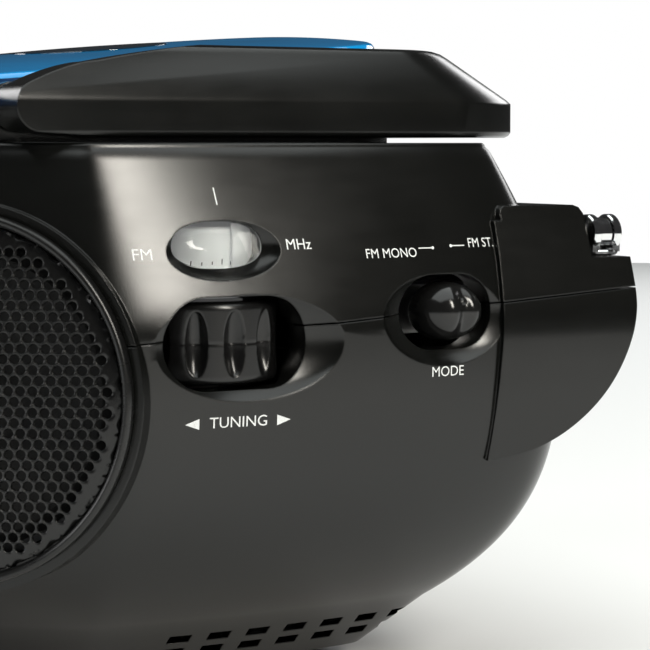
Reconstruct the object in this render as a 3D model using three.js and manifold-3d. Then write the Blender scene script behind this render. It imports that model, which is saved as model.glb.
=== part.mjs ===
// Portable CD player with FM radio: bowl-shaped two-part case, two corner speakers,
// top-loading CD deck under a hinged lid, folding carry handle, telescopic antenna.
// Millimetres, +Z up, front towards -Y. The origin is under the middle of the case, on the table.
import * as THREE from 'three';
import { mergeVertices } from 'three/addons/utils/BufferGeometryUtils.js';
import Module from 'manifold-3d';

const wasm = await Module();
wasm.setup();

// ---------------------------------------------------------------- driving dimensions
const HALF_W = 111.4;        // half width over the ends of the rear bar
const CASE_HALF = 112;       // half width of the bowl at its seam
const FRONT_Y = 97.6;        // seam line to the front of the middle
const REAR_Y = 90;           // seam line to the back wall behind the bar
const BAR_REAR = 98.1;       // back of the rear bar
const DECK_Z = 112;          // deck the handle folds on
const PLATEAU_Z = 119;       // raised deck round the CD well
const SEAM_Z = 75.3;         // height of the seam at Y = 0
const SEAM_RISE = 0.065;     // the seam climbs this much per mm towards the back
const CREASE_Z = 14.5;       // crease above the vented sloping band
const FOOT_H = 3;            // rubber feet
const WALL = 2.4;            // case wall
const TOP_INSET = 17;        // how far the back leans in between seam and deck
const GAP = 0.3;             // clearance between touching pieces
const WELL_R = 61.5;         // CD well for a 120 mm disc
const WELL_Y = -9;           // centre of the well
const LID_HALF = 78;         // half width of the lid
const LID_REAR = 59;         // back edge of the lid
const LID_FRONT = 79;        // front edge of the lid
const LID_TOP = 137;         // highest point of the lid, at its back edge
const LID_T = 2.2;           // lid wall
const HINGE_Y = 55, HINGE_Z = 129.5;      // lid hinge pin
const PIVOT_Y = -31, PIVOT_Z = 118.9;     // handle pivots
const NOSE_R = 4.9;          // round front end of each handle arm
const HANDLE_HALF = 95.5;     // half width over the handle arms
const HANDLE_IN = 83.5;      // inner face of the arms
const HANDLE_TOP = 131.4;    // top of the folded handle
const HANDLE_REAR = 87.6;     // back of the folded handle
const SPK_R = 34.5;          // speaker grille radius
const SPK_X = 86, SPK_Y = -45.2, SPK_Z = 63.5;
const SPK_AZ = 46, SPK_TILT = 2;          // the speakers face this far round and up, degrees
const WHEEL_R = 14.6, WHEEL_H = 16;       // tuning and volume thumb wheels
const WHEEL_X = 95, WHEEL_Y = 3, WHEEL_Z = 73.6;
const SLOT_Y = 51, SLOT_Z = 78;           // middle of the mode and function slide openings
const SLOT_HALF = 11, SLOT_ZH = 7.6;
const KNOB_HALF = 7.4, KNOB_ZH = 5.9, KNOB_AT = 1.5;
const WINDOW_Y = 1, WINDOW_Z = 92.4;      // dial window above the tuning wheel
const LEDGE_Z = 88, LEDGE_Y = 88.2;       // antenna ledge on the rear bar
const BAR_FRONT = 58.5, BAR_TOP = 96, BAR_LOW = 45;
const ANT_X = 102.5, ANT_Y = 93.7, ANT_Z = 92.9;
const PANEL_HALF = 30;       // half width of the blue front panel
const BUTTON_R = 5, BUTTON_X = [-17, 0, 17], BUTTON_Z = [70, 52];
const BAY_HALF = 79, BAY_FRONT = 24, BAY_TOP = 45;

// ---------------------------------------------------------------- geometry helpers
const clean = (g) => {
  g.deleteAttribute('normal');
  g.deleteAttribute('uv');
  const c = mergeVertices(g, 1e-4);
  c.userData.clean = true;
  return c;
};
const solid = (g) => {
  const c = g.userData.clean ? g : clean(g);
  return new wasm.Manifold(new wasm.Mesh({
    numProp: 3,
    vertProperties: new Float32Array(c.attributes.position.array),
    triVerts: new Uint32Array(c.index.array),
  }));
};
const box = (x0, x1, y0, y1, z0, z1) => {
  const g = new THREE.BoxGeometry(x1 - x0, y1 - y0, z1 - z0);
  g.translate((x0 + x1) / 2, (y0 + y1) / 2, (z0 + z1) / 2);
  return solid(g);
};
// cylinder or cone along the local Z of a frame at p whose Z points along dir
const aim = (raw, p, dir) => {
  const g = clean(raw);
  const q = new THREE.Quaternion().setFromUnitVectors(
    new THREE.Vector3(0, 0, 1), new THREE.Vector3(...dir).normalize());
  g.applyQuaternion(q);
  g.translate(...p);
  return solid(g);
};
const cyl = (r, h, p, dir = [0, 0, 1], n = 24, r2 = r) => {
  const g = new THREE.CylinderGeometry(r2, r, h, n);
  g.rotateX(Math.PI / 2);
  g.translate(0, 0, h / 2);
  return aim(g, p, dir);
};
// turned piece: closed profile of [radius, height] points round the frame's Z
const turn = (pts, p, dir = [0, 0, 1], n = 32) => {
  const area = pts.reduce((sum, [r, z], i) => {
    const [r2, z2] = pts[(i + 1) % pts.length];
    return sum + r * z2 - r2 * z;
  }, 0);
  const ring = (area < 0 ? [...pts].reverse() : pts).map(([r, z]) => new THREE.Vector2(r, z));
  ring.push(ring[0].clone());
  const g = new THREE.LatheGeometry(ring, n);
  g.rotateX(Math.PI / 2);
  return aim(g, p, dir);
};
const shape2 = (pts) => new THREE.Shape(pts.map(([a, b]) => new THREE.Vector2(a, b)));
// prism standing on Z from plan points
const prism = (pts, z0, z1) => {
  const g = clean(new THREE.ExtrudeGeometry(shape2(pts), { depth: z1 - z0, bevelEnabled: false }));
  g.translate(0, 0, z0);
  return solid(g);
};
// prism along X from [y, z] points
const prismX = (pts, x0, x1) => {
  const g = clean(new THREE.ExtrudeGeometry(shape2(pts), { depth: x1 - x0, bevelEnabled: false }));
  g.rotateX(Math.PI / 2);
  g.rotateZ(Math.PI / 2);
  g.translate(x0, 0, 0);
  return solid(g);
};
// rings of equal point count stacked into one closed solid
const loft = (rings) => {
  const n = rings[0].length, pos = [], idx = [];
  rings.forEach((r) => r.forEach((p) => pos.push(...p)));
  for (let k = 0; k + 1 < rings.length; k++) {
    for (let i = 0; i < n; i++) {
      const a = k * n + i, b = k * n + (i + 1) % n;
      idx.push(a, b, b + n, a, b + n, a + n);
    }
  }
  const cap = (k, up) => {
    const c = pos.length / 3;
    const m = rings[k].reduce((s, p) => [s[0] + p[0], s[1] + p[1], s[2] + p[2]], [0, 0, 0]);
    pos.push(m[0] / n, m[1] / n, m[2] / n);
    for (let i = 0; i < n; i++) {
      const a = k * n + i, b = k * n + (i + 1) % n;
      if (up) idx.push(a, b, c); else idx.push(b, a, c);
    }
  };
  cap(0, false);
  cap(rings.length - 1, true);
  const g = new THREE.BufferGeometry();
  g.setAttribute('position', new THREE.Float32BufferAttribute(pos, 3));
  g.setIndex(idx);
  return solid(g);
};
const ellipsoid = (a, b, c, p) => {
  const g = clean(new THREE.SphereGeometry(1, 28, 14));
  g.scale(a, b, c);
  g.translate(...p);
  return solid(g);
};
const stadium = (half, r, n = 12) => {
  const pts = [];
  for (let i = 0; i <= n; i++) {
    const t = -Math.PI / 2 + Math.PI * i / n;
    pts.push([half - r + r * Math.cos(t), r * Math.sin(t)]);
  }
  return [...pts, ...pts.map(([a, b]) => [-a, -b])];
};
// hole through a side wall, a stadium in Y and Z
const sideHole = (y, z, half, r, x0, x1) =>
  prismX(stadium(half, r).map(([a, b]) => [y + a, z + b]), x0, x1);
const all = (list) => list.reduce((a, b) => a.add(b));
const flip = (m) => m.mirror([1, 0, 0]);

const group = new THREE.Group();
group.name = 'portable_cd_player';
// joins the ends of hair-short edges that crossing surfaces leave behind
const weld = (m, tol) => {
  const { vertProperties: v, triVerts: t } = m.simplify(tol).getMesh();
  const to = Array.from({ length: v.length / 3 }, (_, i) => i);
  const root = (i) => { while (to[i] !== i) i = to[i]; return i; };
  for (let i = 0; i < t.length; i += 3) {
    for (let k = 0; k < 3; k++) {
      const a = root(t[i + k]), b = root(t[i + (k + 1) % 3]);
      const len = Math.hypot(v[3 * a] - v[3 * b], v[3 * a + 1] - v[3 * b + 1],
        v[3 * a + 2] - v[3 * b + 2]);
      if (a !== b && len < tol) to[Math.max(a, b)] = Math.min(a, b);
    }
  }
  const faces = new Map();
  for (let i = 0; i < t.length; i += 3) {
    const f = [root(t[i]), root(t[i + 1]), root(t[i + 2])];
    if (f[0] === f[1] || f[1] === f[2] || f[2] === f[0]) continue;
    const key = [...f].sort((a, b) => a - b).join();
    if (faces.has(key)) faces.delete(key); else faces.set(key, f);
  }
  return new wasm.Manifold(new wasm.Mesh({ numProp: 3, vertProperties: v,
    triVerts: new Uint32Array([...faces.values()].flat()) }));
};
const node = (name, m, colour, rough = 0.5, metal = 0) => {
  const mesh = weld(weld(m, 0.06), 0.04).simplify(0.02).getMesh();
  const g = new THREE.BufferGeometry();
  g.setAttribute('position', new THREE.BufferAttribute(new Float32Array(mesh.vertProperties), 3));
  g.setIndex(new THREE.BufferAttribute(new Uint32Array(mesh.triVerts), 1));
  g.computeVertexNormals();
  const o = new THREE.Mesh(g, new THREE.MeshStandardMaterial(
    { color: colour, roughness: rough, metalness: metal }));
  o.name = name;
  group.add(o);
};

// ---------------------------------------------------------------- case surface
// Plan of the case at its seam: flat sides, cut front corners for the speakers. The outline is
// a smooth polygon grown by CORNER_R; higher up it is drawn in, lower down it is also scaled.
const CORNER_R = 16;
const SMOOTH = 20;
const SOFT = 2 ** (1 / SMOOTH);
const PLAN = [[34.2, -(FRONT_Y - CORNER_R)], [CASE_HALF - CORNER_R, -17.1],
  [CASE_HALF - CORNER_R, REAR_Y - CORNER_R]].map(([x, y]) => [x / SOFT, y / SOFT]);
const outline = (z, grow, scale, lean = 0, n = 52) => {
  const ring = [];
  for (let i = 0; i < n; i++) {
    const a = 2 * Math.PI * (i + 0.5) / n, c = Math.cos(a), s = Math.sin(a);
    let sum = 0, turnSum = 0;
    for (const [px, y] of PLAN) {
      for (const x of [px, -px]) {
        const h = (x * c + y * s) * scale;
        if (h <= 0) continue;
        sum += h ** SMOOTH;
        turnSum += h ** (SMOOTH - 1) * (-x * s + y * c) * scale;
      }
    }
    const h = sum ** (1 / SMOOTH), d = h ** (1 - SMOOTH) * turnSum;
    // the back leans in most and the front least
    const r = h + CORNER_R + grow - lean * (0.75 + 0.25 * s), e = d - lean * 0.25 * c;
    ring.push([r * c - e * s, r * s + e * c, z]);
  }
  return ring;
};
const BASE_Z = FOOT_H;
const surface = (z, off) => {
  if (z >= SEAM_Z) {
    const t = (z - SEAM_Z) / (DECK_Z - SEAM_Z);
    return outline(z, off, 1, TOP_INSET * t ** 1.3);
  }
  if (z >= CREASE_Z) {
    const u = (SEAM_Z - z) / (SEAM_Z - CREASE_Z);
    return outline(z, off - 10 * u ** 3, 1 - 0.17 * u ** 3.6);
  }
  const v = (CREASE_Z - z) / (CREASE_Z - BASE_Z);
  return outline(z, off - 10, 0.83 - 0.13 * v);
};
const LEVELS = [BASE_Z, CREASE_Z, 18, 23, 29, 37, 47, 60, SEAM_Z, 84, 94, 103, DECK_Z];
const skin = (off) => loft(LEVELS.map((z, i) =>
  surface(z, off).map(([x, y, h]) => [x, y,
    i === 0 ? h - off : i === LEVELS.length - 1 ? h + off : h])));
// the slope of the seam as a half space; side -1 keeps what is below
const seamAt = (y) => SEAM_Z + SEAM_RISE * y;
const seamHalf = (side) => {
  const far = side < 0 ? -20 : 260, z = (y) => seamAt(y) + side * GAP / 2;
  const pts = [[-200, z(-200)], [200, z(200)], [200, far], [-200, far]];
  return prismX(side < 0 ? pts.reverse() : pts, -200, 200);
};

// rear bar: quarter-round underside, low ledge at the back for the antenna
const barProfile = (o) => {
  const top = seamAt(BAR_REAR), pts = [[BAR_FRONT - 0.5 + o, BAR_TOP - o],
    [BAR_FRONT - 0.5 + o, BAR_LOW + o]];
  for (let i = 0; i <= 14; i++) {
    const t = Math.PI / 2 * i / 14;
    pts.push([BAR_FRONT + o + (BAR_REAR - BAR_FRONT - 2 * o) * Math.sin(t),
      top - (top - BAR_LOW - o) * Math.cos(t)]);
  }
  pts.push([BAR_REAR - o, LEDGE_Z - o], [LEDGE_Y - o, LEDGE_Z - o], [LEDGE_Y - o, BAR_TOP - o]);
  return pts;
};
// the bar's ends follow the walls' own draft: [height, half width]
const BAR_END = [[40, 108], [50, 109.9], [60, 111.1], [70, HALF_W], [75, HALF_W], [80, 110.5], [85, 109],
  [90, 107.4], [96, 105.1], [101, 102.9]];
const draft = (o) => prism([...BAR_END.map(([z, x]) => [x - o, z]),
  ...BAR_END.map(([z, x]) => [o - x, z]).reverse()], -120, 0).rotate([90, 0, 0]);
const bar = prismX(barProfile(0), -HALF_W, HALF_W)
  .add(box(-HALF_W, HALF_W, 67, LEDGE_Y, BAR_TOP - 1, BAR_TOP + 3)).intersect(draft(0));
const barIn = prismX(barProfile(WALL), -HALF_W + WALL, HALF_W - WALL).intersect(draft(WALL));

// plan ring, square at the front and rounded at both back corners
const roundRect = (hx, rear, rc, z, n = 9) => {
  const pts = [[-hx, -80, z], [hx, -80, z]];
  for (let i = 0; i <= n; i++) {
    const t = Math.PI / 2 * i / n;
    pts.push([hx - rc + rc * Math.cos(t), rear - rc + rc * Math.sin(t), z]);
  }
  for (let i = n; i >= 0; i--) {
    const t = Math.PI / 2 * i / n;
    pts.push([-hx + rc - rc * Math.cos(t), rear - rc + rc * Math.sin(t), z]);
  }
  return pts;
};
// plateau: raised front deck right across, and the middle between the handle arms
const plateau = (o) => {
  const ring = (z, d) => outline(z, d - 2, 1, TOP_INSET);
  const front = loft([ring(DECK_Z - 12 + o, -o), ring(PLATEAU_Z - 2 - o, -o),
    ring(PLATEAU_Z - o, -1.6 - o)])
    .intersect(box(-120, 120, -120, -45 - o, 90, 130))
    .subtract(prismX([[-66, PLATEAU_Z + 0.4 - o], [-120, PLATEAU_Z - 14 - o], [-120, 140],
      [-66, 140]].reverse(), -130, 130));
  const h = 82 - o;
  return front.add(prism(roundRect(h, 61 - o, 17, 0, 6), DECK_Z - 12 + o, PLATEAU_Z - o)
    .intersect(box(-h, h, -60, 70, 90, 130)).intersect(loft([ring(80, -o), ring(140, -o)])));
};

const dir = (sx) => {
  const a = SPK_AZ * Math.PI / 180, t = SPK_TILT * Math.PI / 180;
  return [sx * Math.sin(a) * Math.cos(t), -Math.cos(a) * Math.cos(t), Math.sin(t)];
};
const along = (sx, d) => [sx * SPK_X, SPK_Y, SPK_Z].map((v, i) => v + d * dir(sx)[i]);

let outer = skin(0).add(bar).add(plateau(0));
let cavity = skin(-WALL).add(barIn).add(plateau(WALL));
for (const s of [1, -1]) {
  // flat speaker seats let into the corners
  outer = outer.add(cyl(SPK_R + 3.2, 24, along(s, -24), dir(s), 40))
    .subtract(cyl(SPK_R + 1.6, 40, along(s, 0), dir(s), 40));
  cavity = cavity.subtract(cyl(SPK_R + 5, 9, along(s, -8.4), dir(s), 40));
}
const X0 = CASE_HALF;
const pads = [];
const dishes = [];
const holes = [];
for (const s of [1, -1]) {
  const put = (m) => (s > 0 ? m : flip(m));
  pads.push(put(box(X0 - 10, X0 + 5, WHEEL_Y - 25, WHEEL_Y + 25, WHEEL_Z - 14, WHEEL_Z + 13)));
  pads.push(put(box(X0 - 9, X0 + 5, SLOT_Y - 19, SLOT_Y + 19, SLOT_Z - 13, SLOT_Z + 12)));
  dishes.push(put(ellipsoid(7.5, 24, 12.5, [X0 + 2.6, WHEEL_Y, WHEEL_Z])));
  dishes.push(put(ellipsoid(8, 18, 12, [X0 + 3, SLOT_Y, SLOT_Z])));
  holes.push(put(sideHole(WHEEL_Y, WHEEL_Z, WHEEL_R + 0.9, WHEEL_H / 2 + 1, X0 - 30, X0 + 10)));
  holes.push(put(sideHole(SLOT_Y, SLOT_Z, SLOT_HALF, SLOT_ZH, X0 - 30, X0 + 10)));
}
// dial window: a dished oval with a clear lens behind it, right side only
pads.push(box(X0 - 13, X0, WINDOW_Y - 14, WINDOW_Y + 14, WINDOW_Z - 7, WINDOW_Z + 7.5)
  .intersect(skin(-0.5)));
dishes.push(ellipsoid(6, 13.4, 6.8, [X0 - 5 + 2, WINDOW_Y, WINDOW_Z]));
holes.push(sideHole(WINDOW_Y, WINDOW_Z, 9.6, 4.4, X0 - 30, X0 + 10));
// room for the driver flanges beside the control pads
const driverRoom = all([1, -1].map((s) => cyl(SPK_R + 0.6, 26, along(s, -34.6), dir(s), 32)));
const wheelRoom = (s) => {
  const m = cyl(WHEEL_R + 0.8, WHEEL_H + 2, [WHEEL_X, WHEEL_Y, WHEEL_Z - WHEEL_H / 2 - 1]);
  return s > 0 ? m : flip(m);
};
cavity = cavity.subtract(all(pads).subtract(driverRoom)).add(wheelRoom(1)).add(wheelRoom(-1))
  .add(cyl(9, 15, [WHEEL_X, WHEEL_Y, WHEEL_Z + 8]));

let shell = outer.subtract(cavity).subtract(all(dishes).intersect(box(-140, 140, -60, 80, 40, 110)))
  .subtract(all(holes));

// cones of the drivers look out through round openings
for (const s of [1, -1]) shell = shell.subtract(cyl(SPK_R - 3, 40, along(s, -30), dir(s), 40));
// front panel recess, display and button openings
const slab = (o1, o2, m) => skin(o1).subtract(skin(o2)).intersect(m);
const panelBox = (g) => box(-PANEL_HALF - g, PANEL_HALF + g, -130, -60, 30 - g, 106 + g);
shell = shell.subtract(slab(3, -1.2, panelBox(GAP)));
const keyHole = (r, x, z) => cyl(r, 40, [x, -120, z], [0, 1, 0], 24);
const keys = [];
for (const z of BUTTON_Z) for (const x of BUTTON_X) keys.push([x, z]);
const keyHoles = all(keys.map(([x, z]) => keyHole(BUTTON_R + GAP, x, z)));
const lensBox = (g) => box(-22 - g, 22 + g, -130, -80, 84 - g, 100 + g);
shell = shell.subtract(keyHoles).subtract(box(-20, 20, -130, -80, 86, 98));
// CD well opening in the plateau
shell = shell.subtract(cyl(WELL_R + 2 + GAP, 30, [0, WELL_Y, 100], [0, 0, 1], 48));
// battery bay: walls inside, door opening at the back
const bay = box(-BAY_HALF - 2, BAY_HALF + 2, BAY_FRONT - 2, 92, 4, BAY_TOP)
  .subtract(box(-BAY_HALF, BAY_HALF, BAY_FRONT, 100, 4, BAY_TOP - 2)).intersect(skin(-1));
const DOOR_HALF = 72;
const doorBox = (g) => box(-DOOR_HALF - g, DOOR_HALF + g, 50, 110, 17 - g, 42 + g);
shell = shell.add(bay).subtract(doorBox(GAP));
// vent slots in the sloping band, both sides
for (const s of [1, -1]) {
  for (let i = 0; i < 5; i++) {
    const m = box(60, 110, 2 + 9 * i, 7 + 9 * i, 7.2, 9.6);
    shell = shell.subtract(s > 0 ? m : flip(m));
  }
}
// towers on the plateau edge that the handle pins run through
const pivotTowers = all([1, -1].map((k) => box(k * 80.6 - 1.4, k * 80.6 + 1.4, PIVOT_Y - 5,
  PIVOT_Y + 5, PLATEAU_Z - 4, PIVOT_Z).add(cyl(5, 2.8, [k * 80.6 - 1.4, PIVOT_Y, PIVOT_Z],
  [1, 0, 0], 24))));
// mains inlet opening in the bar, handle pivot holes, antenna stud hole
const INLET_X = -80, INLET_Z = 70;
shell = shell.subtract(box(INLET_X - 9, INLET_X + 9, 85, 100, INLET_Z - 5.5, INLET_Z + 5.5));
shell = shell.add(pivotTowers);
for (const s of [1, -1]) {
  shell = shell.subtract(cyl(3.1, 8, [s * 76.8, PIVOT_Y, PIVOT_Z], [s, 0, 0], 24));
}
shell = shell.subtract(cyl(2.4, 8, [ANT_X, ANT_Y, LEDGE_Z - 6], [0, 0, 1], 24));
// lugs that carry the lid pin
for (const s of [1, -1]) {
  const lug = box(s * 40 - 3, s * 40 + 3, HINGE_Y - 2.6, HINGE_Y + 2.6, PLATEAU_Z - 1, HINGE_Z)
    .add(cyl(2.6, 6, [s * 40 - 3, HINGE_Y, HINGE_Z], [1, 0, 0], 20))
    .subtract(cyl(1.9, 10, [s * 40 - 5, HINGE_Y, HINGE_Z], [1, 0, 0], 20));
  shell = shell.add(lug);
}
node('lower_shell', shell.intersect(seamHalf(-1)), 0x101112, 0.42);
node('upper_shell', shell.intersect(seamHalf(1)), 0x101112, 0.42);

// ---------------------------------------------------------------- lid and CD deck
// lid plan: square at the back, round at the front
const lidPlan = (o) => {
  const pts = [], w = LID_HALF - o, rear = LID_REAR - o, rc = 14;
  for (let i = 0; i <= 6; i++) {
    const t = Math.PI / 2 * i / 6;
    pts.push([w - rc + rc * Math.cos(t), rear - rc + rc * Math.sin(t)]);
  }
  for (let i = 6; i >= 0; i--) {
    const t = Math.PI / 2 * i / 6;
    pts.push([-w + rc - rc * Math.cos(t), rear - rc + rc * Math.sin(t)]);
  }
  for (let i = 0; i <= 32; i++) {
    const t = Math.PI * i / 32, c = Math.cos(t), q = Math.sin(t);
    pts.push([-w * Math.sign(c) * Math.abs(c) ** 0.86, WELL_Y - (LID_FRONT + WELL_Y - o) * q ** 0.9]);
  }
  return pts;
};
const lidTop = (x, y) => LID_TOP - 4 * (x / 77) ** 2
  - 13 * Math.min(1, Math.max(0, (LID_REAR - y) / (LID_REAR + LID_FRONT))) ** 1.2;
const under = (drop) => {
  const nx = 12, ny = 12, pos = [], idx = [];
  for (let j = 0; j <= ny; j++) {
    for (let i = 0; i <= nx; i++) {
      const x = -85 + 170 * i / nx, y = -88 + 155 * j / ny;
      pos.push(x, y, lidTop(x, y) - drop);
    }
  }
  const top = pos.length / 3;
  for (let k = 0; k < top; k++) pos.push(pos[3 * k], pos[3 * k + 1], 100);
  const at = (i, j) => j * (nx + 1) + i;
  for (let j = 0; j < ny; j++) {
    for (let i = 0; i < nx; i++) {
      const [a, b, c, d] = [at(i, j), at(i + 1, j), at(i + 1, j + 1), at(i, j + 1)];
      idx.push(a, b, c, a, c, d, a + top, c + top, b + top, a + top, d + top, c + top);
    }
  }
  const side = (a, b) => idx.push(a, a + top, b + top, a, b + top, b);
  for (let i = 0; i < nx; i++) { side(at(i, 0), at(i + 1, 0)); side(at(i + 1, ny), at(i, ny)); }
  for (let j = 0; j < ny; j++) { side(at(nx, j), at(nx, j + 1)); side(at(0, j + 1), at(0, j)); }
  const g = new THREE.BufferGeometry();
  g.setAttribute('position', new THREE.Float32BufferAttribute(pos, 3));
  g.setIndex(idx);
  return solid(g);
};
const LID_LOW = PLATEAU_Z + 0.6;
const winY = 12, winHalf = 40, winR = 17;
const winPlan = (o) => stadium(winHalf + o, winR + o).map(([a, b]) => [a, winY + b]);
let lid = prism(lidPlan(0), LID_LOW, 140).intersect(under(0))
  .subtract(prism(lidPlan(LID_T), 100, 140).intersect(under(LID_T)));
const ribs = [];
for (const s of [1, -1]) {
  ribs.push(box(s * 47 - 1.5, s * 47 + 1.5, HINGE_Y - 3.4, HINGE_Y + 3, HINGE_Z - 4, 140));
  lid = lid.subtract(box(s * 40 - 4, s * 40 + 4, HINGE_Y + 1, LID_REAR + 1, 100, HINGE_Z + 3.4));
}
lid = lid.add(all(ribs).intersect(under(0.4)));
lid = lid.subtract(cyl(1.9, 110, [-55, HINGE_Y, HINGE_Z], [1, 0, 0], 20));
// rounded heel behind the pin, so the rear skirt clears the well's rim as the lid swings up
lid = lid.subtract(box(-80, 80, HINGE_Y - 0.2, LID_REAR + 1, 100, HINGE_Z)
  .subtract(cyl(8.7, 170, [-85, HINGE_Y, HINGE_Z], [1, 0, 0], 48)));
// finger notch at the front, window opening with a step for the clear pane
lid = lid.subtract(prism(winPlan(GAP), 100, 150).subtract(under(1.2)))
  .subtract(prism(winPlan(-2.2), 100, 150));
node('cd_lid', lid, 0x0a7fd0, 0.25);
node('lid_window', prism(winPlan(0), 100, 150).intersect(under(-0.2)).subtract(under(0.9)),
  0x1c3348, 0.1);
node('lid_hinge_pin', cyl(1.6, 104, [-52, HINGE_Y, HINGE_Z], [1, 0, 0], 20), 0xb0b4b8, 0.3, 0.9);
const wellWall = WELL_R + 2;
const slotF = box(-13, 13, WELL_Y - 59.5, WELL_Y - 12, 90, 108.5);
node('cd_well', turn([[16.5, 106], [wellWall, 106], [wellWall, 119.3], [65.6, 119.3], [65.6, 120.5],
  [WELL_R, 120.5], [WELL_R, 108], [16.5, 108]], [0, WELL_Y, 0], [0, 0, 1], 48).subtract(slotF),
0x17181a, 0.5);
node('turntable_hub', turn([[0, 106.6], [15.5, 106.6], [15.5, 109.4], [7.3, 109.6], [7.1, 112.4],
  [5, 113.6], [0, 113.6]], [0, WELL_Y, 0]), 0x1d1e20, 0.5);
node('spindle_motor', turn([[0, 89], [11.8, 89], [11.8, 103], [3, 103], [3, 104.6], [1, 104.6],
  [1, 106.3], [0, 106.3]], [0, WELL_Y, 0], [0, 0, 1], 32), 0x9a9da0, 0.35, 0.8);
const RAIL_X = 18, RAIL_Z = 101, RAIL_Y0 = -75.4, RAIL_Y1 = WELL_Y - 6.5;
let chassis = box(-34, 34, -76.5, 24, 93, 95.5)
  .subtract(cyl(12.3, 8, [0, WELL_Y, 90], [0, 0, 1], 32))
  .subtract(box(-14, 14, -70, -26, 90, 99));
for (const y of [-76.4, RAIL_Y1 - 2.5]) chassis = chassis.add(box(-28, -13, y, y + 3.4, 94, 104))
  .add(box(13, 28, y, y + 3.4, 94, 104));
const rodAt = (x, r, y0, y1) => cyl(r, y1 - y0, [x, y0, RAIL_Z], [0, 1, 0], 16);
for (const x of [-RAIL_X, RAIL_X, 24.6]) chassis = chassis.subtract(rodAt(x, 1.8, -90, 0));
node('cd_chassis', chassis, 0x2a2b2d, 0.6);
node('guide_rod_right', rodAt(RAIL_X, 1.5, RAIL_Y0, RAIL_Y1), 0xc8ccd0, 0.2, 1);
node('guide_rod_left', rodAt(-RAIL_X, 1.5, RAIL_Y0, RAIL_Y1), 0xc8ccd0, 0.2, 1);
node('lead_screw', rodAt(24.6, 1.2, RAIL_Y0, -8.4), 0xe8e6df, 0.4);
node('sled_motor', cyl(4.7, 14, [24.6, -8, RAIL_Z], [0, 1, 0], 24), 0x9a9da0, 0.35, 0.8);
node('pickup_sled', box(-21.4, 21.4, WELL_Y - 33, WELL_Y - 19, 98.4, 103.8)
  .add(cyl(4.2, 5.6, [0, WELL_Y - 26, 103], [0, 0, 1], 24))
  .subtract(rodAt(RAIL_X, 1.8, -90, 0)).subtract(rodAt(-RAIL_X, 1.8, -90, 0)), 0x202224, 0.5);

// ---------------------------------------------------------------- handle
const HANDLE_LOW = PIVOT_Z - NOSE_R;
const armSide = [[100, HANDLE_LOW], [100, HANDLE_TOP + 1], [18, HANDLE_TOP + 1], [2, 130],
  [-18, 127.8], [-25, 125.4]];
for (let i = 0; i <= 10; i++) {
  const t = (118 + (270 - 118) * i / 10) * Math.PI / 180;
  armSide.push([PIVOT_Y + NOSE_R * Math.cos(t), PIVOT_Z + NOSE_R * Math.sin(t)]);
}
let handle = loft([roundRect(HANDLE_HALF - 1, HANDLE_REAR - 1, 24, HANDLE_LOW),
  roundRect(HANDLE_HALF, HANDLE_REAR, 25, HANDLE_LOW + 1), roundRect(HANDLE_HALF, HANDLE_REAR, 25, 120.6),
  roundRect(90.5, 71, 19, 130.2), roundRect(88.5, 68.4, 18, HANDLE_TOP)]);
handle = handle.subtract(prism(roundRect(HANDLE_IN, 64, 17, 0).map(([x, y]) => [x, y < 0 ? -90 : y]),
  100, 150)).intersect(prismX(armSide.reverse(), -110, 110));
for (const s of [1, -1]) {
  handle = handle.subtract(cyl(3.1, 12.6, [s * 82, PIVOT_Y, PIVOT_Z], [s, 0, 0], 24));
}
node('carry_handle', handle, 0x111213, 0.38);

for (const s of [1, -1]) {
  const side = s > 0 ? 'right' : 'left';
  node(`handle_pivot_${side}`, cyl(2.8, 16.8, [s * 77.1, PIVOT_Y, PIVOT_Z], [s, 0, 0], 20),
    0x303234, 0.4);
}

// ---------------------------------------------------------------- front panel and keys
const lensHole = box(-22 - GAP, 22 + GAP, -130, -80, 84 - GAP, 100 + GAP);
node('front_panel', slab(1, -0.9, panelBox(0)).subtract(lensHole).subtract(keyHoles),
  0x0a7fd0, 0.25);
node('display_lens', slab(0.8, -0.9, lensBox(0)), 0x14181c, 0.08);
node('lcd_module', box(-23, 23, -83.4, -80.6, 82.4, 101.6), 0x5a6a5c, 0.3);
node('key_board', box(-28, 28, -79.6, -78, 44, 101), 0x1e5a32, 0.6);
const KEY_NAMES = ['skip_back', 'play_pause', 'skip_forward', 'repeat', 'stop', 'program'];
keys.forEach(([x, z], i) => {
  const front = -FRONT_Y - 0.2;
  node(`key_${KEY_NAMES[i]}`, cyl(BUTTON_R, 13, [x, front, z], [0, 1, 0], 24)
    .subtract(ellipsoid(4.4, 0.7, 4.4, [x, front, z])), 0xc9ccd0, 0.3);
});

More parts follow.
